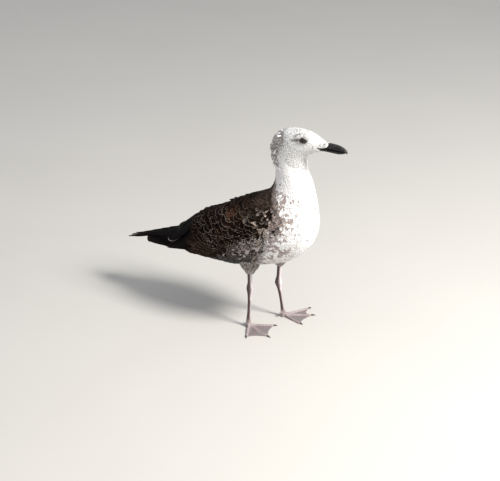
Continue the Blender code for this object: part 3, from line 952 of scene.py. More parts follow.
@dataclass
class Feathers:
    """Many feathers of one kind: one number for all, or one for each. Metres.

    Attributes:
        row: Where the root is.
        column: Where the root is, round the body.
        side: 1 on the left and -1 on the right.
        heading: Degrees from straight back towards the belly.
        length: From root to tip.
        half: Half the width.
        depth: How far the root lies under the surface.
        lift: How far the tip stands over it.
        core: Colour of the middle.
        rim: Colour of the fringe.
        rim_width: The fringe's share of the feather.
        bend: How far it turns, from root to tip, in degrees.
        thick: Half the thickness.
        droop: How far the edges bend down.
    """

    row: Array
    column: Array
    side: Array | float
    heading: Array | float
    length: Array | float
    half: Array | float
    depth: Array | float
    lift: Array | float
    core: Array | Colour
    rim: Array | Colour
    rim_width: Array | float
    bend: Array | float = 0.0
    thick: Array | float = 0.12 * MM
    droop: Array | float = 0.0

    def __post_init__(self) -> None:
        """Repeat single numbers and colours for every feather."""
        for name, value in list(vars(self).items()):
            shape = (len(self.row), 3) if name in ("core", "rim") else len(self.row)
            setattr(self, name, np.broadcast_to(np.asarray(value, dtype=float), shape))

    def kept(self, keep: Array) -> "Feathers":
        """Return only the feathers where keep is true."""
        return replace(self, **{name: value[keep] for name, value in vars(self).items()})


@dataclass
class CoatPiece:
    """One piece of the coat: feathers of one form laid on one chart and joined.

    Attributes:
        name: The piece's name.
        chart: What the feathers lie on.
        leaf: The feather's mesh.
        patch: Size of a feather's place on the bake map.
    """

    name: str
    chart: Chart
    leaf: Leaf
    patch: float = 0.003

    def laid(self, birds: Feathers) -> Array:
        """Return every feather's points, laid on the chart.

        Args:
            birds: The feathers.

        Returns:
            Points, feathers by leaf points by three.
        """
        leaf, before = self.leaf, 0.0
        row, column = birds.row, birds.column
        track = np.empty((3, len(row), len(leaf.stops)))
        for index, stop in enumerate(leaf.stops):
            heading = np.radians(birds.heading + birds.bend * stop)
            step = (stop - before) * birds.length
            row, column = self.chart.moved(row, column, step * np.cos(heading),
                                           step * np.sin(heading) * birds.side)
            track[..., index] = row, column, heading
            before = stop
        row, column, heading = track[..., leaf.stop]
        half, side, depth, lift, thick, droop = (getattr(birds, name)[:, None] for name in (
            "half", "side", "depth", "lift", "thick", "droop"))
        across = leaf.across * leaf.half
        row, column = self.chart.moved(row, column, -across * half * np.sin(heading),
                                       across * half * side * np.cos(heading))
        height = (-depth * (1.0 - leaf.along) ** 1.3 + lift * leaf.along ** 2
                  + thick * leaf.over * leaf.body - droop * across ** 2)
        return self.chart.at(row, column, height)

    def build(self, batches: list[Feathers], material: Material, slot: str) -> Object:
        """Join the feathers as one piece of the coat.

        Args:
            batches: The feathers.
            material: Their material.
            slot: The record's material slot.

        Returns:
            The piece.
        """
        points = np.concatenate([self.laid(batch) for batch in batches])
        joined = {name: np.concatenate([getattr(batch, name) for batch in batches])
                  for name in ("row", "column", "core", "rim", "rim_width")}
        seed = bpy.data.objects.new("leaf", self.leaf.mesh)
        bpy.context.scene.collection.objects.link(seed)
        copies = seed.modifiers.new("copies", "ARRAY")
        copies.use_relative_offset = False
        copies.count = len(points)
        mesh = bpy.data.meshes.new_from_object(
            seed.evaluated_get(bpy.context.evaluated_depsgraph_get()))
        bpy.data.objects.remove(seed)
        mesh.name = self.name
        mesh.vertices.foreach_set("co", points.reshape(-1))
        if self.inside_out(points[0]):
            mesh.flip_normals()
        self.colour(mesh, joined, points.shape[1])
        self.map(mesh, joined)
        mesh.update()
        return dressed(placed(self.name, mesh), material, slot)

    def inside_out(self, first: Array) -> bool:
        """Return whether laying the leaf on the chart has mirrored it, by one feather."""
        volume = 0.0
        for face in self.leaf.mesh.polygons:
            corners = [Vector(first[index] - first[0]) for index in face.vertices]
            for second, third in zip(corners[1:-1], corners[2:]):
                volume += corners[0].dot(second.cross(third))
        return volume < 0.0

    @staticmethod
    def colour(mesh: bpy.types.Mesh, joined: dict[str, Array], each: int) -> None:
        """Store the feathers' colours on each one's points.

        Args:
            mesh: The joined feathers.
            joined: Their colours and fringe widths.
            each: Points in a feather.
        """
        for name in ("core", "rim"):
            rows = np.clip(joined[name], 0.0, 1.0)
            full = np.concatenate((rows, np.ones((len(rows), 1))), axis=1)
            layer = mesh.color_attributes.new(name, "FLOAT_COLOR", "POINT")
            layer.data.foreach_set("color", np.repeat(full, each, axis=0).reshape(-1))
        layer = mesh.attributes.new("rim_width", "FLOAT", "POINT")
        layer.data.foreach_set("value", np.repeat(joined["rim_width"], each))

    def map(self, mesh: bpy.types.Mesh, joined: dict[str, Array]) -> None:
        """Give each feather its own patch of the bake map, at its root's place.

        Args:
            mesh: The joined feathers.
            joined: Their roots' rows and columns.
        """
        row, column = joined["row"], joined["column"]
        total = len(mesh.loops)
        vane = np.empty(total * 2)
        mesh.uv_layers[VANE_MAP].data.foreach_get("uv", vane)
        columns = self.chart.place.shape[1]
        across = (np.mod(column, columns) / columns if self.chart.closed
                  else column / (columns - 1.0))
        down = (row - row.min()) / max(row.max() - row.min(), 1.0)
        root = 0.01 + 0.98 * np.clip(np.stack((across, down), axis=1), 0.0, 1.0)
        patch = np.repeat(root, total // len(row), axis=0) + (
            vane.reshape(-1, 2) - 0.5) * self.patch
        layer = mesh.uv_layers.new(name=BAKE_MAP)
        layer.data.foreach_set("uv", np.clip(patch, 0.0, 1.0).reshape(-1))


@dataclass
class Plumage:
    """Markings of a young gull, and painted shade, for skin and coat alike, by place on the
    body's chart.
    """

    shape: BodyShape
    eye_x: float = 150.75 * MM
    eye_z: float = 361.0 * MM
    flank_angles: Keys = (88.0, 100.0, 108.0, 115.0, 128.0, 142.0, 180.0)
    flank_fronts: Keys = (14.6, 15.1, 15.6, 16.3, 17.2, 18.0, 18.8)
    blotch_keys: Keys = (10.2, 11.2, 14.5, 16.0, 18.0)
    blotch_reach: Keys = (62.0, 122.0, 134.0, 150.0, 165.0)

    @staticmethod
    def nape(station: Array, away: Array) -> Array:
        """Return where the ruffled nape is, 0 to 1."""
        return ramp(4.9, 6.0, station) * ramp(9.4, 8.2, station) * ramp(92.0, 56.0, away)

    def flank(self, station: Array, away: Array) -> Array:
        """Return how streaked the flank is, 0 to 1."""
        front = np.interp(away, self.flank_angles, self.flank_fronts)
        inside = ramp(-24.0, -8.0, away - self.shape.border(station))
        return ramp(front - 0.5, front + 0.9, station) * ramp(24.6, 23.6, station) * inside

    def soft(self, station: Array, away: Array, points: Array,
             dice: Array) -> tuple[Array, Array, Array]:
        """Colour the head, the neck and the whole under side.

        Args:
            station: Station numbers.
            away: Degrees round from the back, on either side.
            points: The places in space.
            dice: One random number for each.

        Returns:
            Core colours, fringe colours and fringe widths.
        """
        coarse = value_noise(points, 6.2 * MM, 1)
        fine = value_noise(points, 3.6 * MM, 2)
        broad = value_noise(points, 24.0 * MM, 3)
        core = WHITE
        rim = WHITE
        below = away - self.shape.border(station)

        # Painted shade: a blotchy grey over the sides of the neck.
        neck = ramp(6.5, 9.0, station) * ramp(12.6, 10.8, station)
        side = ramp(30.0, 62.0, away) * ramp(135.0, 95.0, away)
        core = toward(core, GREY_WHITE_AND_PAINTED_SHADE, neck * side * (0.10 + 0.45 * coarse))

        ahead = (points[:, 0] - self.eye_x) / MM
        over = (points[:, 2] - self.eye_z) / MM
        face = ramp(28.0, 45.0, away) * ramp(110.0, 90.0, away)
        smudge = np.exp(-((ahead - 0.8) / 8.2) ** 2 - ((over + 0.3) / 5.4) ** 2)
        corner = face * np.exp(-((ahead - 1.8) / 7.4) ** 4 - ((over + 0.3) / 3.4) ** 2)
        trail = (np.exp(-((over - 1.0 - 0.05 * ahead) / 1.7) ** 2)
                 * ramp(-21.0, -13.0, ahead) * ramp(2.0, -4.0, ahead))
        brow = (np.exp(-((over - 8.6 - 0.25 * ahead) / 2.4) ** 2)
                * ramp(-18.0, -10.0, ahead) * ramp(7.0, -1.0, ahead))
        core = toward(core, STREAK, brow * ramp(0.42, 0.60, fine) * 0.85)
        shadow = face * np.clip(1.05 * smudge + trail, 0.0, 1.0)
        core = toward(core, STREAK, shadow * (0.72 + 0.4 * dice))
        rim = toward(rim, ASH, shadow * 0.95)
        core = toward(core, SOOT, np.minimum(1.3 * corner, 0.96))
        rim = toward(rim, SOOT, np.minimum(1.2 * corner, 0.90))

        crown = ramp(1.8, 3.5, station) * ramp(8.4, 7.4, station)
        speck = np.where(dice < 0.16, 0.65, 0.0) * ramp(74.0, 44.0, away)
        core = toward(core, STREAK, crown * speck * (0.3 + 0.9 * coarse))
        core = toward(core, STREAK, self.nape(station, away) * np.where(dice < 0.34, 0.8, 0.05))

        edge = np.interp(station, (8.6, 10.4, 11.6, 12.8, 14.0), (8.0, 32.0, 58.0, 88.0, 96.0))
        dark = ramp(edge + 22.0, edge - 8.0, away) * ramp(8.6, 10.9, station)
        dark = np.where(station < 14.5, dark, 0.0)
        clump = 0.6 * value_noise(points, 5.0 * MM, 11) + 0.4 * dice
        spot = ramp(0.04, 0.0, clump - 0.12 - 0.72 * dark)
        core = toward(core, UMBER, 0.95 * spot)
        rim = toward(rim, STREAK, 0.80 * spot)

        breast = ramp(10.4, 11.6, station) * ramp(19.5, 17.0, station)
        reach = np.interp(station, self.blotch_keys, self.blotch_reach)
        near = ramp(reach + 28.0, reach - 18.0, away)
        close = ramp(46.0, 0.0, below)
        mark = ramp(0.545, 0.645, 0.72 * value_noise(points, 5.2 * MM, 10) + 0.28 * coarse
                    + 0.10 * close + 0.08 * (near - 0.6) + 0.14 * (dice - 0.5))
        core = toward(core, FAWN, breast * mark * near * 1.1)
        core = toward(core, UMBER, breast * mark * ramp(22.0, -4.0, below) * 0.50)
        rim = toward(rim, FAWN, breast * mark * near * 0.45)

        flank = self.flank(station, away)
        low = ramp(112.0, 145.0, away) * ramp(19.0, 17.0, station)
        heavy = np.interp(station, (14.8, 16.8, 19.0), (0.60, 0.78, 0.96))
        core = toward(core, FAWN, flank * 0.60)
        rear = ramp(16.2, 19.0, station)
        tone = np.where(dice < heavy, 0.98, 0.20) * (1.0 - 0.22 * low)
        core = toward(core, UMBER, flank * tone)
        core = toward(core, TAN, flank * low * (0.30 + 0.5 * coarse))
        rim = toward(rim, PALE_FRINGE, flank * 0.95)
        rim = toward(rim, TAN, flank * np.minimum(0.40 * low + 0.80 * rear + 0.3 * (fine - 0.4),
                                                  0.9))
        # Painted shade: the rear of the under side is darkened, over its brown flank marks.
        under = rear * ramp(110.0, 126.0, away)
        core = toward(core, SOOT, 0.7 * under)
        rim = toward(rim, UMBER, 0.85 * under)
        # Painted shade: patchy grey over the belly's under side; the tan mottling after it is its
        # own colour.
        belly = ramp(15.0, 17.5, station) * ramp(35.0, 55.0, below)
        core = toward(core, GREY_WHITE_AND_PAINTED_SHADE, belly * 0.8 * broad)
        core = toward(core, TAN, belly * ramp(0.50, 0.70, 0.5 * coarse + 0.5 * fine) * 0.7)
        # Painted shade: the vent and undertail coverts, barred pale in life, are coloured
        # near-black, a few a little lighter.
        vent = ramp(21.0, 22.5, station)
        core = toward(core, SOOT, vent * np.where(dice < 0.8, 0.95, 0.6))
        rim = toward(rim, UMBER, vent * 0.8)
        width = 0.26 + 0.16 * fine - (0.06 + 0.10 * rear) * flank
        return core, rim, width

    def upper(self, station: Array, away: Array, points: Array,
              dice: Array) -> tuple[Array, Array, Array]:
        """Colour the mantle, the shoulders and the wings.

        Args:
            station: Station numbers.
            away: Degrees round from the back, on either side.
            points: The places in space.
            dice: One random number for each.

        Returns:
            Core colours, fringe colours and fringe widths.
        """
        coarse = value_noise(points, 14.0 * MM, 4)
        core = SOOT
        core = toward(core, UMBER, 0.25 + 0.45 * coarse + 0.3 * (dice - 0.5))
        rust = (np.exp(-((station - 16.5) / 0.95) ** 2) * np.exp(-((away - 43.0) / 12.0) ** 2))
        core = toward(core, RUST, rust * np.where(dice < 0.7, 0.40, 0.10))
        rim = BUFF
        bend = (ramp(16.9, 15.2, station) * ramp(12.2, 13.2, station) * ramp(44.0, 64.0, away))
        patchy = 0.65 * value_noise(points, 5.0 * MM, 5) + 0.35 * dice
        core = toward(core, MOTTLE, bend * ramp(15.7, 15.0, station)
                      * ramp(0.53, 0.65, patchy) * 0.90)
        light = value_noise(points, 15.0 * MM, 6)
        bright = (ramp(14.9, 15.7, station) * ramp(20.8, 19.4, station)
                  * ramp(14.0, 24.0, away) * ramp(90.0, 76.0, away))
        core = toward(core, SOOT, 0.45 * bright * (1.0 - rust))
        rim = toward(rim, TAN, ramp(18.6, 21.5, station) * 0.7)
        rim = toward(rim, PALE_FRINGE, bright * ramp(0.42, 0.60, light))
        rim = toward(rim, UMBER, bend * ramp(0.62, 0.50, patchy) * 0.80)
        # Painted shade: pale fringes are darkened along the back's ridge and over the rear
        # scapulars; on the mantle the darker fringes and cores are its own colour.
        mantle = ramp(14.8, 13.4, station) * (1.0 - bend)
        dusk = np.maximum(ramp(36.0, 18.0, away), mantle)
        dusk = np.maximum(dusk, 0.80 * ramp(54.0, 34.0, away) * ramp(16.9, 18.0, station))
        core = toward(core, STREAK, 0.40 * mantle)
        rim = toward(rim, STREAK, 0.85 * dusk)
        rim = toward(rim, BUFF, mantle * ramp(16.0, 34.0, away) * ramp(0.40, 0.55, light) * 0.8)
        faint = ramp(0.28, 0.70, value_noise(points, 9.0 * MM, 7) * 0.5 + 0.5 * dice)
        rim = toward(rim, UMBER, 0.80 * faint * (1.0 - 0.5 * bend) * (1.0 - 0.5 * bright))
        rear = ramp(21.3, 22.1, station)
        core = toward(core, SOOT, rear)
        rim = toward(rim, SOOT, 0.85 * rear)
        width = 0.13 + 0.07 * (dice - 0.5) + 0.10 * bend + 0.10 * mantle
        return core, rim, width


@dataclass
class OnBody:
    """What lies on the body: its outline, its chart and the bird's markings."""

    shape: BodyShape
    chart: Chart
    plumage: Plumage

    def spots(self, row: Array, column: Array) -> tuple[Array, Array, Array]:
        """Return roots' stations, degrees away from the back and points."""
        return (self.shape.station(row), np.abs(self.shape.angle(column)),
                self.chart.at(row, column))

    def sized(self, values: Keys, station: Array) -> Array:
        """Return sizes in metres from a table in millimetres set at the class's keys."""
        return np.interp(station, self.keys, values) * MM


# ---------------- skin and legs


@dataclass
class Leg:
    """One leg's own places, in millimetres, for its scales and its thigh feathers."""

    side: Side
    hip: tuple[float, float, float]
    cuff: tuple[float, float, float]
    ankle: tuple[float, float]
    turns: tuple[float, float, float]
    # Weight of the normal's sideways part in the direction along which painted light and shade
    # are laid.
    outward: float = 0.55
    knee: float = 76.0
    scute: float = 2.3
    toe_half: float = 2.9
    pale: Colour = (0.42, 0.335, 0.325)
    # Colours: the paler joint, also painted light on the side facing the camera's right; painted
    # light over that side above the joint; painted shade on the side facing the camera's left.
    pale_joint_and_painted_light: Colour = (0.60, 0.50, 0.50)
    painted_light: Colour = (0.88, 0.80, 0.83)
    shade: Colour = (0.030, 0.014, 0.012)
    web: Colour = (0.158, 0.146, 0.154)
    foot: Colour = (0.330, 0.288, 0.295)

    def toes(self, point: Array) -> tuple[Array, ...]:
        """Measure places on the foot.

        Args:
            point: Places in millimetres.

        Returns:
            How much each lies on a toe, on the flat of the foot, its reach and its bearing.
        """
        away = point[:, :2] - np.array(self.ankle)
        reach = np.hypot(away[:, 0], away[:, 1])
        bearing = np.degrees(np.arctan2(away[:, 1], away[:, 0]))
        flat = ramp(10.0, 7.0, point[:, 2]) * ramp(5.0, 9.0, reach)
        near = np.zeros(len(point))
        for turn in self.turns:
            off = np.abs(reach * np.sin(np.radians(bearing - turn)))
            ahead = np.cos(np.radians(bearing - turn)) > 0.0
            near = np.maximum(near, np.where(ahead, ramp(1.25, 0.8, off / self.toe_half), 0.0))
        return near, flat, reach, bearing

    def tone(self, point: Array, normal: Array) -> Array:
        """Return the skin's colour: pale at the joint, greyer on the webs, painted light and
        shade.

        Args:
            point: Places in millimetres.
            normal: Their normals.

        Returns:
            One colour for each place.
        """
        near, flat, _, _ = self.toes(point)
        shank = ramp(8.0, 18.0, point[:, 2])
        tone = self.pale
        tone = toward(tone, self.pale_joint_and_painted_light, 0.8 * np.exp(-((point[:, 2] - self.knee) / 13.0) ** 2))
        # Painted light and shade: the side facing the camera's right is painted pale, most of all
        # above the joint, and the side facing its left is painted dark, wider below the joint.
        turned = 0.84 * normal[:, 0] + self.outward * normal[:, 1]
        above = ramp(46.0, 58.0, point[:, 2])
        tone = toward(tone, self.pale_joint_and_painted_light, 0.75 * ramp(0.20, 0.65, turned) * shank)
        tone = toward(tone, self.painted_light, ramp(-0.15, 0.15, turned) * above)
        tone = toward(tone, self.shade, ramp(0.10, -0.20, turned - 0.30 * (1.0 - above)) * shank)
        tone = toward(tone, self.foot, 0.8 * (1.0 - shank))
        return toward(tone, self.web, 0.9 * (1.0 - near) * flat)

    def groove(self, point: Array, normal: Array) -> Array:
        """Return how deep a groove between scales is at places on this leg, 0 to 1.

        Args:
            point: Places in millimetres.
            normal: Their normals.

        Returns:
            The depths.
        """
        line = np.abs(np.sin(math.pi * (point[:, 2] + 0.35 * point[:, 1]) / self.scute))
        shin = (ramp(0.45, 0.05, line) * ramp(-0.05, 0.45, normal[:, 0])
                * ramp(9.0, 14.0, point[:, 2]) * ramp(104.0, 92.0, point[:, 2]))
        near, flat, reach, bearing = self.toes(point)
        rings = ramp(0.45, 0.05, np.abs(np.sin(math.pi * reach / (0.85 * self.scute))))
        depth = np.maximum(shin, rings * near * flat)
        folds = ramp(0.30, 0.0, np.abs(np.sin(np.radians(bearing) * 26.0 + reach * 0.05)))
        return np.maximum(depth, 0.55 * folds * (1.0 - near) * flat * ramp(12.0, 20.0, reach))


@dataclass
class Skin(OnBody):
    """The one skin: body sunk under its coat, and bare scaly legs and webbed feet."""

    legs: tuple[Leg, ...]
    depth_keys: Keys = (0.0, 1.0, 4.0, 7.0, 9.0, 11.0, 13.0, 15.0)
    depths: Keys = (0.5, 0.6, 0.9, 1.3, 1.7, 2.3, 2.9, 3.2)
    body_voxel: float = 1.8
    leg_voxel: float = 0.66
    nape_depth: float = 1.6
    swell: float = 0.3
    scale_depth: float = 0.16

    def nearest(self, points: Array) -> tuple[Array, Array]:
        """Return the chart's rows and columns nearest to points.

        Args:
            points: Places in metres.

        Returns:
            Rows and columns.
        """
        flat = self.chart.place[::2, ::2].reshape(-1, 3)
        columns = self.chart.place[::2, ::2].shape[1]
        tree = KDTree(len(flat))
        for index, point in enumerate(flat):
            tree.insert(point, index)
        tree.balance()
        best = np.array([tree.find(point)[1] for point in points])
        return 2.0 * (best // columns), 2.0 * (best % columns)

    def body(self, nodes: Nodes) -> BMesh:
        """Fuse the body's nodes and sink them under the coat.

        Args:
            nodes: All the CAD nodes.

        Returns:
            The body's skin, with its tint.
        """
        flesh = [node for name, node in nodes.items() if name.startswith(
            ("head", "eye", "neck", "trunk", "thigh", "wing", "tertials"))]
        work = voxel_mesh(merged_copy(flesh, self.swell * MM), self.body_voxel * MM, 3)
        points = np.array([vert.co for vert in work.verts])
        row, column = self.nearest(points)
        station, away = self.shape.station(row), np.abs(self.shape.angle(column))
        depth = (np.interp(station, self.depth_keys, self.depths) * MM
                 + self.nape_depth * MM * self.plumage.nape(station, away))
        for vert, sink in zip(work.verts, depth):
            vert.co -= vert.normal * float(sink)
        dice = np.full(len(points), 0.5)
        core, rim, _ = self.plumage.soft(station, away, points, dice)
        dark_core, dark_rim, _ = self.plumage.upper(station, away, points, dice)
        upper = (away < self.shape.border(station))[:, None]
        tint = np.where(upper, 0.8 * dark_core + 0.2 * dark_rim, 0.6 * core + 0.4 * rim)
        self.paint(work, tint, np.zeros(len(points)))
        return work

    def bare(self, nodes: Nodes) -> BMesh:
        """Fuse the legs and feet, and press the grooves between their scales.

        Args:
            nodes: All the CAD nodes.

        Returns:
            The legs' skin, with its grooves.
        """
        joined = bmesh.new()
        for leg in self.legs:
            word = leg.side.word
            parts = [nodes[f"{name}_{word}"] for name in ("leg", "foot", "hind_toe")]
            work = voxel_mesh(merged_copy(parts, 0.2 * MM), self.leg_voxel * MM, 2)
            points = np.array([vert.co for vert in work.verts]) / MM
            normals = np.array([vert.normal for vert in work.verts])
            depth = leg.groove(points, normals)
            for vert, sink in zip(work.verts, depth):
                vert.co -= vert.normal * float(sink) * self.scale_depth * MM
                vert.co.z = max(vert.co.z, 0.0)
            self.paint(work, leg.tone(points, normals), depth)
            pour(work, joined)
        for face in joined.faces:
            face.material_index = 1
        return joined

    @staticmethod
    def paint(work: BMesh, tint: Array, groove: Array) -> None:
        """Store a tint and a groove depth on every point of a mesh.

        Args:
            work: The mesh.
            tint: One colour for each point.
            groove: One depth for each point.
        """
        tints = work.verts.layers.float_color.new("tint")
        grooves = work.verts.layers.float.new("groove")
        for vert, colour, depth in zip(work.verts, np.clip(tint, 0.0, 1.0), groove):
            vert[tints] = (*colour, 1.0)
            vert[grooves] = float(depth)

    def build(self, nodes: Nodes, down: Material, scaly: Material) -> Object:
        """Make the skin and let it stand for every node of flesh.

        Args:
            nodes: All the CAD nodes.
            down: Material under the coat.
            scaly: Material of the bare parts.

        Returns:
            The skin.
        """
        work = self.body(nodes)
        pour(self.bare(nodes), work)
        skin = dressed(from_bmesh("skin", work), down, "pale_plumage", *[
            name for name in nodes if name.startswith((
                "head", "neck", "trunk", "thigh", "wing", "tertials", "leg_", "foot", "hind"))])
        skin.data.materials.append(scaly)
        return skin


# ---------------- head's hard parts


@dataclass
class Eye:
    """One eye: a wet ball, and the beaded lids round its opening. Millimetres."""

    side: Side
    centre: tuple[float, float, float]
    radius: float = 7.0
    opening: tuple[float, float] = (5.7, 3.4)
    lid: float = 0.5
    lid_reach: float = 6.6
    pupil_reach: float = 4.4

    def ball(self, material: Material) -> Object:
        """Make the ball with its pole looking outwards.

        Args:
            material: The wet eye.

        Returns:
            The eye.
        """
        work = bmesh.new()
        bmesh.ops.create_uvsphere(work, u_segments=64, v_segments=48, radius=self.radius)
        layer = work.verts.layers.float.new("pupil")
        for vert in work.verts:
            reach = math.hypot(vert.co.x, vert.co.y)
            outside = vert.co.z > 0.0
            vert[layer] = min(1.0, reach / self.pupil_reach) if outside else 1.0
            if outside and reach < self.pupil_reach:
                vert.co.z += 0.35 * (1.0 - (reach / self.pupil_reach) ** 2)
        turn = -90.0 * self.side.value
        bmesh.ops.rotate(work, verts=work.verts, cent=(0, 0, 0), matrix=turn_x(turn))
        word = self.side.word
        return dressed(shrunk(f"eyeball_{word}", work, self.centre), material, "eye_dark",
                       f"eye_{word}")

    def lids(self, material: Material) -> Object:
        """Make the ring of the lids, lying on the ball.

        Args:
            material: The lids' skin.

        Returns:
            The lids.
        """
        work = bmesh.new()
        bmesh.ops.create_circle(work, segments=14, radius=1.0)
        bmesh.ops.rotate(work, verts=work.verts, cent=(0, 0, 0), matrix=turn_x(90.0))
        bmesh.ops.translate(work, verts=work.verts, vec=(8.0, 0.0, 0.0))
        bmesh.ops.spin(work, geom=work.verts[:] + work.edges[:], cent=(0, 0, 0),
                       axis=(0, 0, 1), dvec=(0, 0, 0), angle=math.tau, steps=96,
                       space=turn_x(0.0).to_4x4(), use_merge=True, use_duplicate=False)
        outward = work.verts.layers.float.new("outward")
        wide, tall = self.opening
        for vert in work.verts:
            reach = math.hypot(vert.co.x, vert.co.y)
            ahead, over = vert.co.x / reach, vert.co.y / reach
            share = (reach - 7.0) / 2.0
            x = (wide + (self.lid_reach - wide) * share) * ahead
            z = (tall + (self.lid_reach - tall) * share) * over
            slant = (1.0 - share) * 0.35 * abs(ahead) ** 3
            near = math.sqrt(max(0.0, self.radius ** 2 - x * x - z * z))
            beads = 0.06 * math.sin(38.0 * math.atan2(over, ahead)) * (1.0 - share)
            lip = self.lid * (1.15 - 0.75 * share) * (1.0 + 0.3 * max(0.0, over))
            y = near + 0.12 + beads + (0.6 + 0.6 * vert.co.z) * lip
            vert[outward] = share
            vert.co = Vector((x, y * self.side.value, z + slant))
        return dressed(shrunk(f"eyelids_{self.side.word}", work, self.centre), material,
                       "eye_dark")

    def covers(self, points: Array, margin: float) -> Array:
        """Return which points lie over the eye's opening.

        Args:
            points: Places in metres, with a last axis of three.
            margin: How much wider than the lids to test, in millimetres.

        Returns:
            True where a point is over the opening.
        """
        away = points / MM - np.array(self.centre)
        wide, tall = (value + self.lid + margin for value in self.opening)
        inside = (away[..., 0] / wide) ** 2 + (away[..., 2] / tall) ** 2 < 1.0
        return inside & (away[..., 1] * self.side.value > 0.0)


@dataclass
class Mandible:
    """One half of the bill, from rings of top x and z, lower x and z and half width."""

    name: str
    node: str
    rings: tuple[tuple[float, float, float, float, float], ...]
    widest: float
    root: float = 5.0
    nostril: tuple[float, float, float, float] | None = None

    def build(self, material: Material) -> Object:
        """Shape the mandible from a ball.

        Args:
            material: The horn.

        Returns:
            The mandible.
        """
        work = bmesh.new()
        bmesh.ops.create_uvsphere(work, u_segments=56, v_segments=72, radius=1.0)
        culmen_sheen_and_wear = work.verts.layers.float.new("culmen_sheen_and_wear")
        rings = np.array(self.rings)
        for vert in work.verts:
            share = 0.5 - 0.5 * vert.co.z
            reach = math.hypot(vert.co.x, vert.co.y)
            up, out = (vert.co.x / reach, vert.co.y / reach) if reach > 1e-4 else (0, 0)
            ring = curve(rings, np.array([share * (len(rings) - 1)]))[0]
            end = min(1.0, math.sqrt(max(0.0, 1.0 - ((share - 0.965) / 0.035) ** 2))
                      if share > 0.965 else 1.0)
            vert.co = self.point(ring, up, out, end)
            vert.co.x -= self.root * max(0.0, 1.0 - share / 0.02)
            # Painted sheen along the top of the culmen, and paler horn towards the tip.
            vert[culmen_sheen_and_wear] = max(0.0, up) ** 6 * 0.7 + 0.3 * share ** 4
            if self.nostril:
                x, z, long, high = self.nostril
                slit = math.exp(-((vert.co.x - x) / long) ** 4 - ((vert.co.z - z) / high) ** 2)
                vert.co.y -= math.copysign(1.15 * slit, out) if abs(out) > 0.3 else 0.0
                vert[culmen_sheen_and_wear] = max(0.0, vert[culmen_sheen_and_wear] - slit)
        bmesh.ops.translate(work, verts=work.verts, vec=(0.0, MIDDLE, 0.0))
        return dressed(shrunk(self.name, work), material, "bill_horn", self.node)

    def point(self, ring: Array, up: float, out: float, end: float) -> Vector:
        """Return a place on one ring, before it is set on the bird's middle.

        Args:
            ring: The ring's sizes.
            up: Height round the ring, -1 to 1.
            out: Sideways place round the ring, -1 to 1.
            end: How far the ring is closed towards the tip.

        Returns:
            The place, in millimetres.
        """
        level = self.widest
        middle = ring[2:4] * (1.0 - level) + ring[0:2] * level
        reach = ring[0:2] - middle if up > 0.0 else middle - ring[2:4]
        lifted = math.copysign(abs(up) ** 0.9, up)
        spread = math.copysign(abs(out) ** 0.9, out)
        x, z = middle + reach * lifted * end
        return Vector((x, ring[4] * spread * end, z))


def build_claws(nodes: Nodes, material: Material) -> None:
    """Make a smooth claw for each packed one.

    Args:
        nodes: All the CAD nodes.
        material: The horn.
    """
    for name, node in nodes.items():
        if name.startswith("claw"):
            claw = from_bmesh(f"nail_{name[5:]}", merged_copy([node], 0.15 * MM))
            smooth = claw.modifiers.new("smooth", "SUBSURF")
            smooth.levels = smooth.render_levels = 2
            dressed(claw, material, "claw_horn", name)


# ---------------- the coat


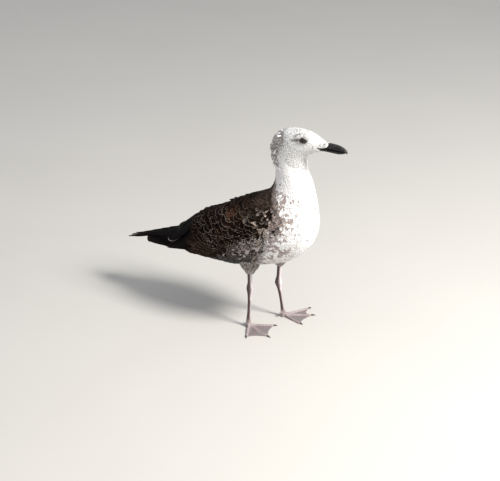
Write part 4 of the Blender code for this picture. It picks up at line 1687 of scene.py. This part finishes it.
@dataclass
class SoftCoat(OnBody):
    """Down and body feathers over the head, the neck and the whole under side.

    The size keys are stations; the sizes are millimetres.
    """

    eyes: tuple[Eye, ...]
    keys: Keys = (0.0, 2.0, 4.0, 6.0, 7.0, 9.0, 11.0, 13.0, 15.0, 18.0, 21.0)
    spacing: Keys = (0.70, 1.2, 1.45, 1.6, 1.8, 2.0, 2.4, 2.9, 3.4, 3.9, 4.5)
    length: Keys = (2.4, 3.6, 4.8, 6.0, 7.0, 8.0, 10.0, 12.0, 14.0, 16.0, 18.0)
    width: Keys = (1.1, 1.5, 1.8, 2.1, 2.4, 2.9, 3.8, 5.2, 6.4, 7.4, 8.6)
    depth: Keys = (0.35, 0.45, 0.55, 0.7, 0.8, 0.9, 1.0, 1.1, 1.2, 1.3, 1.4)
    clump: int = 3
    clump_gap: float = 1.75
    flank_closer: float = -0.45
    flank_slimmer: float = 0.28
    nape_sink: float = 1.6
    face_raise: float = 1.0
    face_angles: Keys = (0.0, 25.0, 55.0, 76.0, 84.0, 92.0, 99.0, 108.0, 125.0)
    face_starts: Keys = (-0.45, -0.65, -0.9, -0.85, 0.0, 0.85, 0.6, 0.15, 0.0)

    def sown(self, first: float, last: float, seed: int, gain: float = 1.0) -> tuple:
        """Spread roots evenly by the local spacing.

        Args:
            first: Station to start from.
            last: Station to end at.
            seed: Which spread.
            gain: How much wider apart than the table says.

        Returns:
            Rows and columns of the roots.
        """
        station, away = self.shape.grid(self.chart)
        apart = self.sized(self.spacing, station) * gain
        apart = apart * (1.0 - self.flank_closer * self.plumage.flank(station, away))
        inside = (station >= first) & (station < last)
        inside = inside & (away > self.shape.border(station) - 3.0)
        inside = inside & (station > np.interp(away, self.face_angles, self.face_starts))
        row, column = self.chart.sown(apart, inside, seed)
        jitter = np.random.default_rng(SEED + 500 + seed).normal(size=(2, len(row)))
        apart = self.sized(self.spacing, self.shape.station(row)) * gain
        return self.chart.moved(row, column, 0.22 * apart * jitter[0], 0.22 * apart * jitter[1])

    def grown(self, row: Array, column: Array, seed: int) -> Feathers:
        """Return feathers of the local size, colour and lie at some roots.

        Args:
            row: The roots' rows.
            column: The roots' columns.
            seed: Which random numbers.

        Returns:
            The feathers.
        """
        rng = np.random.default_rng(SEED + seed)
        count = len(row)
        station, away, points = self.spots(row, column)
        dice, vary = rng.random(count), rng.normal(size=(4, count))
        core, rim, width = self.plumage.soft(station, away, points, dice)
        finer = self.plumage.flank(station, away)
        half = self.sized(self.width, station) / 2.0 * (1.0 - self.flank_slimmer * finer)
        length = self.sized(self.length, station) * (1.0 + 0.15 * finer)
        depth = self.sized(self.depth, station)
        face = ramp(0.9, -0.3, station) * ramp(100.0, 88.0, away)
        sink = MM * (self.nape_sink * self.plumage.nape(station, away) - self.face_raise * face)
        swirl = value_noise(points, 18.0 * MM, 9) - 0.5
        return Feathers(
            row=row, column=column, side=self.shape.side(column),
            heading=vary[0] * 7.0 + swirl * 20.0 + 28.0 * finer, bend=vary[1] * 8.0,
            length=length * (1.0 + 0.12 * vary[2]), half=half * (1.0 + 0.1 * vary[3]),
            depth=depth + sink, lift=0.05 * depth * (1.0 + np.abs(vary[1])) - sink,
            thick=np.interp(station, (0.0, 8.0, 14.0), (0.08, 0.11, 0.14)) * MM,
            droop=half * 0.16, core=core, rim=rim, rim_width=width)

    def clear_of_eyes(self, piece: CoatPiece, birds: Feathers, margin: float) -> Feathers:
        """Return the feathers that don't reach over an eye.

        Args:
            piece: The piece they belong to.
            birds: The feathers.
            margin: How much wider than the lids to test, in millimetres.

        Returns:
            The feathers that stay.
        """
        points = piece.laid(birds)
        return birds.kept(~np.any([eye.covers(points, margin).any(axis=1)
                                   for eye in self.eyes], axis=0))

    def head(self, leaf: Leaf, material: Material) -> Object:
        """Cover the head, with shorter feathers round the eyes and at the bill.

        Args:
            leaf: The feather's mesh.
            material: Its material.

        Returns:
            The piece.
        """
        piece = CoatPiece("coat_head", self.chart, leaf)
        row, column = self.sown(-0.95, 7.6, 11)
        main = self.clear_of_eyes(piece, self.grown(row, column, 21), 0.2)
        row, column = self.sown(1.6, 4.6, 12, 0.72)
        near = self.grown(row, column, 22)
        points = self.chart.at(row, column)
        close = np.any([eye.covers(points, 2.6) for eye in self.eyes], axis=0)
        near = replace(near, length=near.length * 0.42, half=near.half * 0.72)
        near = self.clear_of_eyes(piece, near.kept(close), 0.0)
        return piece.build([main, near], material, "white_plumage")

    def band(self, first: float, last: float, seed: int) -> list[Feathers]:
        """Return the feathers between two stations, by the spread of this seed."""
        return [self.grown(*self.sown(first, last, seed), seed + 10)]

    def ruff(self) -> list[Feathers]:
        """Return the ruffled clumps that stand out on the nape."""
        rng = np.random.default_rng(SEED + 40)
        row, column = self.sown(5.2, 8.8, 13, self.clump_gap)
        angle = self.shape.angle(column)
        keep = np.abs(angle) < 80.0 * (0.8 + 0.4 * rng.random(len(row)))
        row, column = np.repeat(row[keep], self.clump), np.repeat(column[keep], self.clump)
        clumps, count = len(row) // self.clump, len(row)
        near = rng.normal(size=(3, count))
        birds = self.grown(*self.chart.moved(row, column, 0.8 * MM * near[0],
                                             0.7 * MM * near[1]), 23)
        station = self.shape.station(birds.row)
        edge = ramp(86.0, 50.0, np.abs(self.shape.angle(birds.column)))
        shared = rng.random(size=(4, clumps)).repeat(self.clump, axis=1)
        stand = (0.1 + 0.9 * shared[0] ** 1.5) * ramp(5.2, 6.2, station) * edge
        dark = np.where(shared[1] < 0.80, 1.0, 0.05) * (0.85 + 0.15 * rng.random(count))
        return [replace(
            birds, length=(9.0 + 4.0 * shared[2] + 1.0 * near[2]) * MM,
            half=(1.0 + 0.35 * rng.random(count)) * MM, lift=(4.6 * stand - 1.0) * MM,
            depth=2.6 * MM, heading=26.0 * (shared[3] - 0.5) - 5.0 * near[1],
            core=toward(WHITE, STREAK, dark), rim=WHITE, thick=0.18 * MM, rim_width=0.32)]


@dataclass
class UpperCoat(OnBody):
    """Mantle, shoulder feathers and wing coverts, in rows like tiles. Millimetres."""

    pitch_round: float = 8.2
    keys: Keys = (10.4, 12.0, 14.0, 16.0, 19.0, 23.0)
    pitch: Keys = (3.4, 4.6, 6.4, 8.8, 9.8, 9.8)
    mantle: Keys = (10.0, 14.0, 21.0, 28.0, 31.0, 30.0)
    mantle_half: Keys = (3.4, 5.0, 7.2, 9.0, 9.4, 9.0)
    covert: Keys = (10.0, 12.0, 15.0, 20.0, 25.0, 27.0)
    covert_half: Keys = (3.4, 4.6, 5.8, 7.2, 8.0, 8.2)
    shoulder_keys: Keys = (12.5, 14.0, 16.0, 18.0, 20.0, 21.5)
    shoulder: Keys = (50.0, 62.0, 60.0, 50.0, 34.0, 14.0)
    first: float = 15.0
    last: float = 23.4
    tertial_keys: Keys = (19.6, 20.2, 21.0, 22.4)
    tertial_ends: Keys = (0.0, 30.0, 48.0, 62.0)
    hump_keys: Keys = (12.8, 14.2, 15.6, 17.0, 18.2, 19.6, 21.2, 23.0)
    humps: Keys = (0.0, 1.2, 2.6, 3.6, 3.4, 2.8, 2.2, 1.5)
    front_last: float = 15.6
    front_keys: Keys = (10.0, 12.0, 14.0, 16.0)
    front_sink: float = 0.2
    front_gap: Keys = (2.5, 3.2, 4.2, 5.2)
    front_length: Keys = (7.5, 10.0, 14.0, 19.0)
    front_half: Keys = (1.9, 2.6, 3.7, 4.8)

    def hump(self, station: Array, away: Array) -> Array:
        """Return how far the shoulder feathers are puffed up off the back, in metres."""
        return np.interp(station, self.hump_keys, self.humps) * ramp(66.0, 24.0, away) * MM

    def lattice(self, side: Side) -> tuple[Array, Array]:
        """Return roots in staggered rows over one side's upper surface.

        Args:
            side: Which side.

        Returns:
            Rows and columns.
        """
        guide = int(self.shape.column(np.array(55.0)))
        rows = self.chart.paced(
            self.shape.row(self.first), self.shape.row(self.last), lambda row: (
                np.interp(self.shape.station(row), self.keys, self.pitch) * MM, guide))
        half = self.chart.place.shape[1] // 2
        turned = self.chart.column_step if side is Side.LEFT else np.roll(
            self.chart.column_step[:, ::-1], 1, axis=1)
        round_body = np.cumsum(turned[:, :half + 1], axis=1)
        found_rows, found_columns = [], []
        for line in range(60):
            shift = 0.5 * (line % 2)
            places = np.interp(np.arange(len(rows)) - shift, np.arange(len(rows)), rows)
            reach = (line + 0.35) * self.pitch_round * MM
            for place in places:
                arc = round_body[int(min(place, len(round_body) - 1))]
                if reach < arc[-1]:
                    found_rows.append(place)
                    found_columns.append(np.interp(reach, arc, np.arange(half + 1)))
        row, column = np.array(found_rows), np.array(found_columns)
        station, angle = self.shape.station(row), self.shape.angle(column)
        keep = angle < self.shape.border(station) - 1.0
        keep &= angle > np.interp(station, self.tertial_keys, self.tertial_ends)
        return row[keep], column[keep] * side.value

    def grown(self, side: Side) -> Feathers:
        """Return one side's feathers.

        Args:
            side: Which side.

        Returns:
            The feathers.
        """
        rng = np.random.default_rng(SEED + 50 + side.value)
        row, column = self.lattice(side)
        count = len(row)
        vary = rng.normal(size=(6, count))
        row, column = self.chart.moved(row, column, vary[0] * 1.2 * MM, vary[1] * 0.9 * MM)
        station, away, points = self.spots(row, column)
        edge = np.interp(station, self.shoulder_keys, self.shoulder)
        wing = ramp(edge - 7.0, edge + 7.0, away) * ramp(12.8, 14.0, station)
        core, rim, width = self.plumage.upper(station, away, points, rng.random(count))
        length, half = (
            (np.interp(station, self.keys, back) * (1.0 - wing)
             + np.interp(station, self.keys, covert) * wing) * MM
            for back, covert in ((self.mantle, self.covert),
                                 (self.mantle_half, self.covert_half)))
        slope = np.interp(station, (12.0, 14.5, 17.0, 20.0, 23.0), (4.0, 34.0, 46.0, 38.0, 16.0))
        depth = np.interp(station, (10.4, 13.0, 15.0), (1.7, 2.6, 3.0)) * MM
        hump = self.hump(station, away)
        return Feathers(
            row=row, column=column, side=side.value,
            heading=(5.0 + (slope - 5.0) * wing) + vary[2] * 9.5, bend=vary[3] * 9.0,
            length=length * (1.0 + 0.12 * vary[4]), half=half * (1.0 + 0.12 * vary[5]),
            depth=depth - hump, lift=(0.25 + 0.45 * rng.random(count)) * MM + hump,
            thick=0.16 * MM, droop=half * 0.13,
            core=core, rim=rim, rim_width=width)

    def front(self) -> Feathers:
        """Return the small feathers of the hind neck, mantle and wing's bend."""
        station, away = self.shape.grid(self.chart)
        apart = np.interp(station, self.front_keys, self.front_gap) * MM
        inside = (station > 9.8) & (station < self.front_last)
        inside = inside & (away < self.shape.border(station) + 2.0)
        row, column = self.chart.sown(apart, inside, 18)
        rng = np.random.default_rng(SEED + 55)
        count = len(row)
        vary, dice = rng.normal(size=(6, count)), rng.random(count)
        row, column = self.chart.moved(row, column, 0.9 * MM * vary[0], 0.9 * MM * vary[1])
        station, away, points = self.spots(row, column)
        core, rim, width = self.plumage.upper(station, away, points, dice)
        half = np.interp(station, self.front_keys, self.front_half) * MM
        hump = np.maximum(self.hump(station, away) - self.front_sink * MM, 0.0)
        depth = np.interp(station, (10.0, 13.0, 15.0), (1.5, 2.2, 2.6)) * MM - hump
        steep = 22.0 * ramp(40.0, 70.0, away) * ramp(12.0, 14.5, station)
        return Feathers(
            row=row, column=column, side=self.shape.side(column),
            heading=4.0 + steep + 8.0 * vary[2], bend=8.0 * vary[3],
            length=np.interp(station, self.front_keys, self.front_length) * MM
            * (1.0 + 0.10 * vary[4]), half=half * (1.0 + 0.10 * vary[5]), depth=depth,
            lift=(0.2 + 0.5 * rng.random(count)) * MM + hump,
            thick=0.14 * MM, droop=half * 0.13, core=core, rim=rim,
            rim_width=width + 0.08)


@dataclass
class WingEdge(OnBody):
    """Flank feathers that lap over the wing's lower edge. Millimetres."""

    first: float = 12.8
    last: float = 18.8
    lines: tuple[tuple[float, float, float], ...] = ((14.0, 0.5, 3.4), (9.0, 0.9, 3.2),
                                                     (4.0, 1.2, 3.2))

    def feathers(self) -> list[Feathers]:
        """Return the rows, the highest on the wing last."""
        rng = np.random.default_rng(SEED + 60)
        batches = []
        for side in Side:
            for below, lift, apart in self.lines:
                row = self.chart.paced(
                    self.shape.row(self.first), self.shape.row(self.last),
                    lambda at, apart=apart: (apart * MM, self.shape.edge_column(at)))
                count = len(row)
                vary = rng.normal(size=(6, count))
                station = self.shape.station(row)
                away = self.shape.border(station) + below + vary[0] * 2.5
                column = self.shape.column(away) * side.value
                points = self.chart.at(row, column)
                core, rim, width = self.plumage.soft(station, away, points, rng.random(count))
                half = (2.6 + 0.25 * (station - 13.0) + 0.3 * vary[4]) * MM
                batches.append(Feathers(
                    row=row, column=column, side=side.value,
                    heading=-6.0 + vary[1] * 6.0, bend=5.0 * vary[5],
                    length=(13.0 + 0.5 * (station - 13.0) + 1.2 * vary[2]) * MM, half=half,
                    depth=2.2 * MM, lift=(lift + 0.2 * vary[3]) * MM,
                    thick=0.14 * MM, droop=0.25 * half,
                    core=core, rim=rim, rim_width=width + 0.1))
        return batches


@dataclass
class LongFeathers(OnBody):
    """Tertials over the rear of the closed wing. Millimetres.

    Each row gives the root's station and degrees, the heading, length, half width and
    how far the tip stands off.
    """

    tertials: tuple[Keys, ...] = (
        (20.1, 55.0, 12.0, 101.0, 10.0, 0.5), (20.1, 45.0, 9.0, 110.0, 10.5, 0.9),
        (20.0, 36.0, 7.0, 114.0, 11.0, 1.6), (19.9, 28.0, 5.0, 115.0, 11.0, 3.6),
        (19.8, 20.0, 3.0, 108.0, 11.0, 6.8), (19.7, 25.0, 4.0, 116.0, 17.0, 11.0),
        (19.7, 11.0, 1.0, 88.0, 10.0, 9.6))
    straight_from: float = 21.8
    crescent: float = 2.2

    def tertial_batch(self, side: Side) -> Feathers:
        """Return one side's tertials, the innermost on top, pale round the tip.

        Args:
            side: Which side.

        Returns:
            The feathers.
        """
        table = np.array(self.tertials)
        broad = np.where(table[:, 4] > 0.99 * table[:, 4].max(), 1.0, 0.10)
        return Feathers(
            row=self.shape.row(table[:, 0]),
            column=self.shape.column(table[:, 1]) * side.value,
            side=side.value, heading=table[:, 2],
            bend=-3.0, length=table[:, 3] * MM, half=table[:, 4] * MM,
            depth=1.4 * MM, lift=table[:, 5] * MM,
            thick=0.28 * MM, droop=0.9 * MM, core=SOOT,
            rim=toward(SOOT, PALE_FRINGE, broad), rim_width=0.11)

    def dark_batch(self, pale: Feathers) -> Feathers:
        """Return the dark feathers over the tertials, which leave only the tips' rims."""
        return replace(pale, length=pale.length - self.crescent * MM, rim=pale.core,
                       half=pale.half + 0.3 * MM, lift=pale.lift + 0.35 * MM,
                       depth=pale.depth - 0.35 * MM)

    def flat(self) -> Chart:
        """Return the body's chart cut off where the tertials run straight on."""
        return Chart(self.chart.place[:int(self.shape.row(self.straight_from))])

    def feathers(self) -> list[Feathers]:
        """Return the tertials of both sides, and the dark feathers over them."""
        pale = [self.tertial_batch(side) for side in Side]
        return pale + [self.dark_batch(birds) for birds in pale]


@dataclass
class GreaterCoverts(OnBody):
    """The wing's lowest, longest coverts, browner than the rest. Millimetres."""

    first: float = 17.0
    last: float = 22.8
    above_edge: Keys = (34.0, 20.0, 7.0)
    length: float = 30.0
    half: float = 7.2
    pitch: float = 8.0

    def feathers(self) -> list[Feathers]:
        """Return the rows on both wings."""
        rng = np.random.default_rng(SEED + 70)
        batches = []
        for side in Side:
            for order, above in enumerate(self.above_edge):
                row = self.chart.paced(
                    self.shape.row(self.first) + 2.0 * order, self.shape.row(self.last),
                    lambda at, above=above: (self.pitch * MM,
                                             self.shape.edge_column(at, above)))
                count = len(row)
                vary = rng.normal(size=(4, count))
                station = self.shape.station(row)
                angle = self.shape.border(station) - above + vary[0]
                rear = ramp(21.3, 22.1, station)
                core = toward(SOOT, UMBER, (0.6 + 0.2 * vary[1]) * (1.0 - rear))
                rim = toward(BUFF, TAN, 0.45)
                batches.append(Feathers(
                    row=row, column=self.shape.column(angle) * side.value,
                    side=side.value, heading=14.0 + 2.0 * vary[2],
                    length=self.length * MM * (1.0 + 0.05 * vary[3]),
                    half=self.half * MM, depth=2.6 * MM,
                    lift=(0.55 - 0.2 * order) * MM,
                    thick=0.17 * MM, droop=0.8 * MM,
                    core=core, rim=toward(rim, SOOT, 0.85 * rear),
                    rim_width=0.15))
        return batches


@dataclass
class ThighCoat:
    """Short ragged feathers round one thigh. Millimetres."""

    leg: Leg
    nodes: Nodes
    rows: int = 28
    columns: int = 48

    def chart(self) -> Chart:
        """Return the thigh's chart, from the hip down to the cuff."""
        share = np.linspace(0.10, 0.84, self.rows)[:, None]
        axis = np.array(self.leg.hip) * (1.0 - share) + np.array(self.leg.cuff) * share
        turn = np.arange(self.columns) * math.tau / self.columns
        away = np.stack((np.cos(turn), -np.sin(turn), np.zeros(self.columns)), axis=1)
        return Chart((axis[:, None] + 5.0 * away[None]) * MM).settled(
            [self.nodes[f"thigh_{self.leg.side.word}"]], np.full(self.rows, 26.0 * MM))

    def feathers(self, chart: Chart) -> list[Feathers]:
        """Return the thigh's feathers.

        Args:
            chart: The thigh's chart.

        Returns:
            One batch.
        """
        seed = 80 + self.leg.side.value
        row, column = chart.sown(2.3 * MM, True, seed)
        rng = np.random.default_rng(SEED + seed)
        count = len(row)
        vary = rng.normal(size=(5, count))
        points = chart.at(row, column)
        low = ramp(122.0, 104.0, points[:, 2] / MM)
        core = toward(GREY_WHITE_AND_PAINTED_SHADE, TAN, 0.60 + 0.3 * vary[0])
        core = toward(core, STREAK, 0.45 * (vary[4] > 0.5) * (1.0 - 0.6 * low))
        core = toward(core, GREY_WHITE_AND_PAINTED_SHADE, 0.3 * low)
        return [Feathers(
            row=row, column=column, side=1.0, heading=8.0 * vary[1],
            bend=8.0 * vary[2], length=(8.5 - 3.0 * low + 0.8 * vary[3]) * MM,
            half=(1.5 - 0.5 * low) * MM, depth=(1.5 - 0.7 * low) * MM,
            lift=np.abs(vary[4]) * 0.25 * MM, thick=0.10 * MM,
            core=core, rim=toward(GREY_WHITE_AND_PAINTED_SHADE, TAN, 0.6 * (1.0 - low)),
            rim_width=0.3)]


@dataclass
class Primaries:
    """Folded flight feathers of one wing, lying along its long tip. Millimetres."""

    side: Side
    start: float = -76.45
    end: float = -224.45
    edges: tuple[Keys, ...] = (
        (5.0, 157.0, 19.0, 144.0), (4.6, 148.5, 18.5, 137.0), (4.4, 139.0, 16.5, 129.5),
        (4.2, 129.5, 12.8, 122.0), (4.0, 119.8, 9.8, 114.8), (4.2, 110.0, 7.8, 107.4),
        (5.4, 101.5, 6.4, 100.8))
    arch: float = 2.0
    step: float = 20.0

    def chart(self) -> Chart:
        """Return the chart of the wing tip's outer face."""
        sign = self.side.value
        keys = []
        for x, (top_y, top_z, low_y, low_z) in zip(
                np.linspace(self.start, self.end, len(self.edges)), self.edges):
            keys.append((x, MIDDLE + sign * top_y, top_z, x, MIDDLE + sign * low_y, low_z))
        return sheet(keys, self.arch * sign, sign)

    def feathers(self) -> list[Feathers]:
        """Return the six feathers, the shortest uppermost."""
        order = np.arange(6)
        tips = self.end + self.step * order
        length = self.start - tips - 2.0
        return [Feathers(
            row=np.full(len(order), 0.5), column=10.6 - 0.6 * order, side=1.0,
            heading=-0.2 * order, length=length * MM, half=4.8 * MM,
            depth=0.2 * MM, lift=(0.3 + 0.32 * order) * MM,
            thick=0.3 * MM, droop=0.5 * MM, core=SOOT, rim=toward(SOOT, BUFF, 0.30),
            rim_width=0.05)]


@dataclass
class Tail:
    """The closed tail's feathers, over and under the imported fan. Millimetres."""

    start: float = -59.45
    end: float = -178.45
    halves: Keys = (13.0, 16.5, 19.5, 22.0, 24.0)
    thick: tuple[float, float] = (7.0, 1.4)
    top: float = 116.5
    fall: float = 3.5
    arch: float = 1.4
    cushion: float = 6.0

    def chart(self, over: bool) -> Chart:
        """Return the chart of the tail's upper or under face.

        Args:
            over: True for the upper face.

        Returns:
            The chart.
        """
        face = 1.0 if over else -1.0
        keys = []
        for along, half in zip(np.linspace(0.0, 1.0, len(self.halves)), self.halves):
            x = self.start + (self.end - self.start) * along
            thick = self.thick[0] + (self.thick[1] - self.thick[0]) * along
            z = self.top - self.fall * along - self.arch + face * thick / 2.0
            keys.append((x, MIDDLE - half, z, x, MIDDLE + half, z))
        return sheet(keys, self.arch, face)

    def feathers(self, over: bool) -> list[Feathers]:
        """Return the twelve feathers and their coverts on one face.

        Args:
            over: True for the upper face.

        Returns:
            Two batches.
        """
        order = np.arange(12) - 5.5
        away = np.abs(order) / 5.5
        length = (self.start - self.end) - 14.0 * away ** 2 - 0.5
        stack = (1.0 - away) if over else away
        birds = Feathers(
            row=np.full(len(order), 0.3), column=10.0 + order * 0.95, side=1.0,
            heading=order * 0.62, length=length * MM, half=8.0 * MM, depth=0.4 * MM,
            lift=(0.15 + 0.9 * stack) * MM, thick=0.28 * MM, droop=0.3 * MM, core=SOOT,
            rim=toward(SOOT, BUFF, 0.35), rim_width=0.04)
        # The coverts keep the feathers' near-black; under the tail that is painted shade over
        # coverts barred pale in life.
        return [birds, replace(
            birds, length=birds.length * (0.78 - 0.12 * away), half=birds.half * 0.8,
            lift=birds.lift + (0.8 if over else self.cushion) * MM)]


@dataclass
class Gape(OnBody):
    """Thin dark wedge of bare horn running back from the bill to the mouth's corner."""

    length: float = 16.5
    half: float = 4.2

    def feathers(self, side: Side) -> list[Feathers]:
        """Return the wedge of one side of the face.

        Args:
            side: Which side.

        Returns:
            One batch of one wedge.
        """
        return [Feathers(
            row=np.array([self.shape.row(-0.9)]), column=self.shape.column(96.0) * side.value,
            side=side.value, heading=-3.0, length=self.length * MM, half=self.half * MM,
            depth=0.0, lift=-0.1 * MM, thick=0.35 * MM, core=SOOT, rim=SOOT, rim_width=0.1)]


# ---------------- light and room


@dataclass
class Studio:
    """Camera, floor and soft light. Metres and degrees."""

    aim: tuple[float, float, float] = (0.01317, 0.02413, 0.1318)
    azimuth: float = 33.0
    elevation: float = 24.0
    distance: float = 2.20
    lens: float = 89.5
    sun: tuple[float, float, float] = (0.72, -0.04, 0.69)
    sun_power: float = 116.0
    sun_size: float = 0.7
    sun_distance: float = 2.6
    fill: float = 0.70
    floor_half: float = 6.0

    def aimed(self, name: str, data: bpy.types.ID, back: Vector, distance: float) -> Object:
        """Put a camera or a light into the scene, turned to the aim.

        Args:
            name: Its name.
            data: The camera's or the light's data.
            back: Direction from the aim to it, of length one.
            distance: How far away it stands, in metres.

        Returns:
            The object.
        """
        made = bpy.data.objects.new(name, data)
        made.location = Vector(self.aim) + back * distance
        made.rotation_euler = back.to_track_quat("Z", "Y").to_euler()
        bpy.context.scene.collection.objects.link(made)
        return made

    def camera(self) -> None:
        """Create the camera and make it the scene's own."""
        turn, lift = math.radians(self.azimuth), math.radians(self.elevation)
        back = Vector((math.sin(turn) * math.cos(lift), -math.cos(turn) * math.cos(lift),
                       math.sin(lift)))
        data = bpy.data.cameras.new("camera")
        data.lens = self.lens
        data.sensor_width = 36.0
        data.sensor_fit = "HORIZONTAL"
        bpy.context.scene.camera = self.aimed("camera", data, back, self.distance)

    def floor(self) -> None:
        """Create the pale floor."""
        work = bmesh.new()
        bmesh.ops.create_grid(work, x_segments=1, y_segments=1, size=self.floor_half)
        floor = from_bmesh("floor", work)
        floor.data.materials.append(FloorFinish().material())

    def light(self) -> None:
        """Create the key light and the soft surroundings."""
        data = bpy.data.lights.new("key", "AREA")
        data.shape = "DISK"
        data.size = self.sun_size
        data.energy = self.sun_power
        data.color = (1.0, 0.97, 0.92)
        self.aimed("key", data, Vector(self.sun).normalized(), self.sun_distance)
        world = bpy.data.worlds.new("room")
        world.use_nodes = True
        background = world.node_tree.nodes["Background"]
        background.inputs["Color"].default_value = (0.92, 0.95, 1.0, 1.0)
        background.inputs["Strength"].default_value = self.fill
        bpy.context.scene.world = world
        bpy.context.scene.view_settings.view_transform = "Standard"

    def build(self) -> None:
        """Create all of it."""
        self.camera()
        self.floor()
        self.light()


@dataclass
class Gull:
    """The whole bird, built from its parts in order."""

    nodes: Nodes
    shape: BodyShape = field(default_factory=BodyShape)
    legs: tuple[Leg, Leg] = (
        Leg(Side.RIGHT, (51.55, -38.88, 136.0), (55.05, -40.88, 104.0), (51.55, -39.88),
            (34.0, -16.0, -62.0)),
        Leg(Side.LEFT, (78.55, 7.62, 136.0), (79.05, 17.62, 103.0), (82.55, 26.12),
            (-12.0, 35.0, 64.0), knee=68.0))
    eyes: tuple[Eye, Eye] = (
        Eye(Side.LEFT, (150.75, -4.78, 361.0)), Eye(Side.RIGHT, (150.75, -26.98, 361.0)))

    def head_parts(self) -> None:
        """Make the eyes, their lids, the bill and the claws."""
        wet, lid = EyeFinish().material(), LidFinish().material()
        for eye in self.eyes:
            eye.ball(wet)
            eye.lids(lid)
        horn = HornFinish("bill_horn", (0.007, 0.006, 0.007), (0.040, 0.037, 0.038), 0.38,
                          420.0).material()
        Mandible("bill_upper_shell", "bill_upper", (
            (184.65, 359.2, 181.45, 352.2, 7.7), (188.85, 360.0, 185.85, 351.6, 7.0),
            (196.85, 360.4, 195.85, 351.1, 5.7), (204.85, 360.0, 204.85, 350.8, 4.9),
            (211.85, 358.6, 212.35, 350.7, 4.3), (217.85, 356.2, 218.35, 350.2, 3.6),
            (221.85, 353.6, 222.45, 348.6, 2.4), (223.85, 349.8, 223.75, 347.6, 1.0)),
            widest=0.32, nostril=(202.6, 355.6, 3.6, 0.75)).build(horn)
        Mandible("bill_lower_shell", "bill_lower", (
            (181.25, 351.8, 177.85, 344.6, 7.4), (185.85, 351.2, 184.35, 345.2, 6.4),
            (195.85, 350.7, 194.85, 344.9, 4.9), (204.85, 350.4, 204.35, 344.7, 4.1),
            (210.35, 350.3, 210.35, 345.0, 3.7), (215.35, 350.0, 215.55, 346.5, 3.0),
            (219.45, 349.0, 219.65, 347.6, 1.7)), widest=0.72).build(horn)
        nail = HornFinish("claw_horn", (0.012, 0.010, 0.010), (0.10, 0.075, 0.065), 0.42,
                          700.0).material()
        build_claws(self.nodes, nail)

    def coat(self, body: tuple[BodyShape, Chart, Plumage]) -> None:
        """Lay the whole coat.

        Args:
            body: Shape, chart and markings.
        """
        down = FeatherFinish("down", 0.9, 0.15, 60.0, 0.0, 0.15, 0.035, 4.0).material()
        covert = FeatherFinish("covert_vane", 0.75, 0.0, 70.0, 0.4, 0.35, 0.14, 3.3, 0.8,
                               0.03).material()
        flight = FeatherFinish("flight_vane", 0.58, 0.0, 160.0, 0.6, 0.3, 0.16, 7.0, 0.35,
                               0.04).material()
        tuft = Leaf(FeatherForm.TUFT, 0.6, 2.0)
        plume = Leaf(FeatherForm.PLUME, 0.5, 3.0)
        blunt = Leaf(FeatherForm.PLUME, 0.42, 5.0)
        vane = Leaf(FeatherForm.VANE, 0.42, 7.0)
        quill = Leaf(FeatherForm.QUILL, 0.30, 9.0)
        tapered = Leaf(FeatherForm.QUILL, 0.12, 2.6)
        wedge = Leaf(FeatherForm.QUILL, 0.08, 1.0)
        chart, tail, tertials = body[1], Tail(), LongFeathers(*body)
        soft, upper = SoftCoat(*body, self.eyes), UpperCoat(*body)
        soft.head(tuft, down)
        layers = [
            ("coat_nape_ruff", chart, plume, 0.003, down, "white_plumage", soft.ruff()),
            ("coat_neck", chart, plume, 0.003, down, "white_plumage", soft.band(7.4, 12.4, 14)),
            ("coat_breast", chart, plume, 0.003, down, "pale_plumage", soft.band(12.4, 17.0, 15)),
            ("coat_belly", chart, plume, 0.003, down, "pale_plumage", soft.band(17.0, 25.2, 16))]
        for leg in self.legs:
            thigh = ThighCoat(leg, self.nodes)
            skin = thigh.chart()
            layers.append((f"coat_thigh_{leg.side.word}", skin, tuft, 0.003, down,
                           "pale_plumage", thigh.feathers(skin)))
        layers += [
            ("coat_mantle", chart, blunt, 0.008, covert, "brown_plumage", [upper.front()]),
            ("coat_upper", chart, vane, 0.016, covert, "brown_plumage",
             [upper.grown(side) for side in Side]),
            ("coat_greater_coverts", chart, vane, 0.010, covert, "brown_plumage",
             GreaterCoverts(*body).feathers()),
            ("coat_tertials", tertials.flat(), quill, 0.05, flight, "black_feathers",
             tertials.feathers()),
            ("coat_wing_edge", chart, plume, 0.003, down, "pale_plumage",
             WingEdge(*body).feathers())]
        for side in Side:
            tip = Primaries(side)
            layers.append((f"primary_feathers_{side.word}", tip.chart(), tapered, 0.12, flight,
                           "black_feathers", tip.feathers()))
        for face, over in (("upper", True), ("under", False)):
            layers.append((f"tail_feathers_{face}", tail.chart(over), tapered, 0.07, flight,
                           "black_feathers", tail.feathers(over)))
        for side in Side:
            layers.append((f"gape_{side.word}", chart, wedge, 0.5, down, "bill_horn",
                           Gape(*body).feathers(side)))
        for name, place, leaf, patch, material, slot, batches in layers:
            CoatPiece(name, place, leaf, patch).build(batches, material, slot)
        core = DarkVaneFinish().material()
        for name in ("primaries_left", "primaries_right", "tail"):
            self.nodes[name].data.materials.clear()
            self.nodes[name].data.materials.append(core)

    def build(self) -> None:
        """Build every part of the bird."""
        flesh = [node for name, node in self.nodes.items()
                 if name.startswith(("bill", "head", "eye", "neck", "trunk", "wing",
                                     "tertials"))]
        chart = self.shape.chart(flesh)
        body = (self.shape, chart, Plumage(self.shape))
        LOG.info("chart: %d rows, %d columns", *chart.place.shape[:2])
        Skin(*body, self.legs).build(self.nodes, SkinFinish().material(), LegFinish().material())
        self.head_parts()
        self.coat(body)


def main(frame: dict) -> None:
    """Build the studio and the bird.

    Args:
        frame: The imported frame.
    """
    Studio().build()
    Gull(frame["nodes"]).build()


if __name__ == "__main__":
    logging.basicConfig(level=logging.INFO, format="%(name)s: %(message)s")
    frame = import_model()
    main(frame)
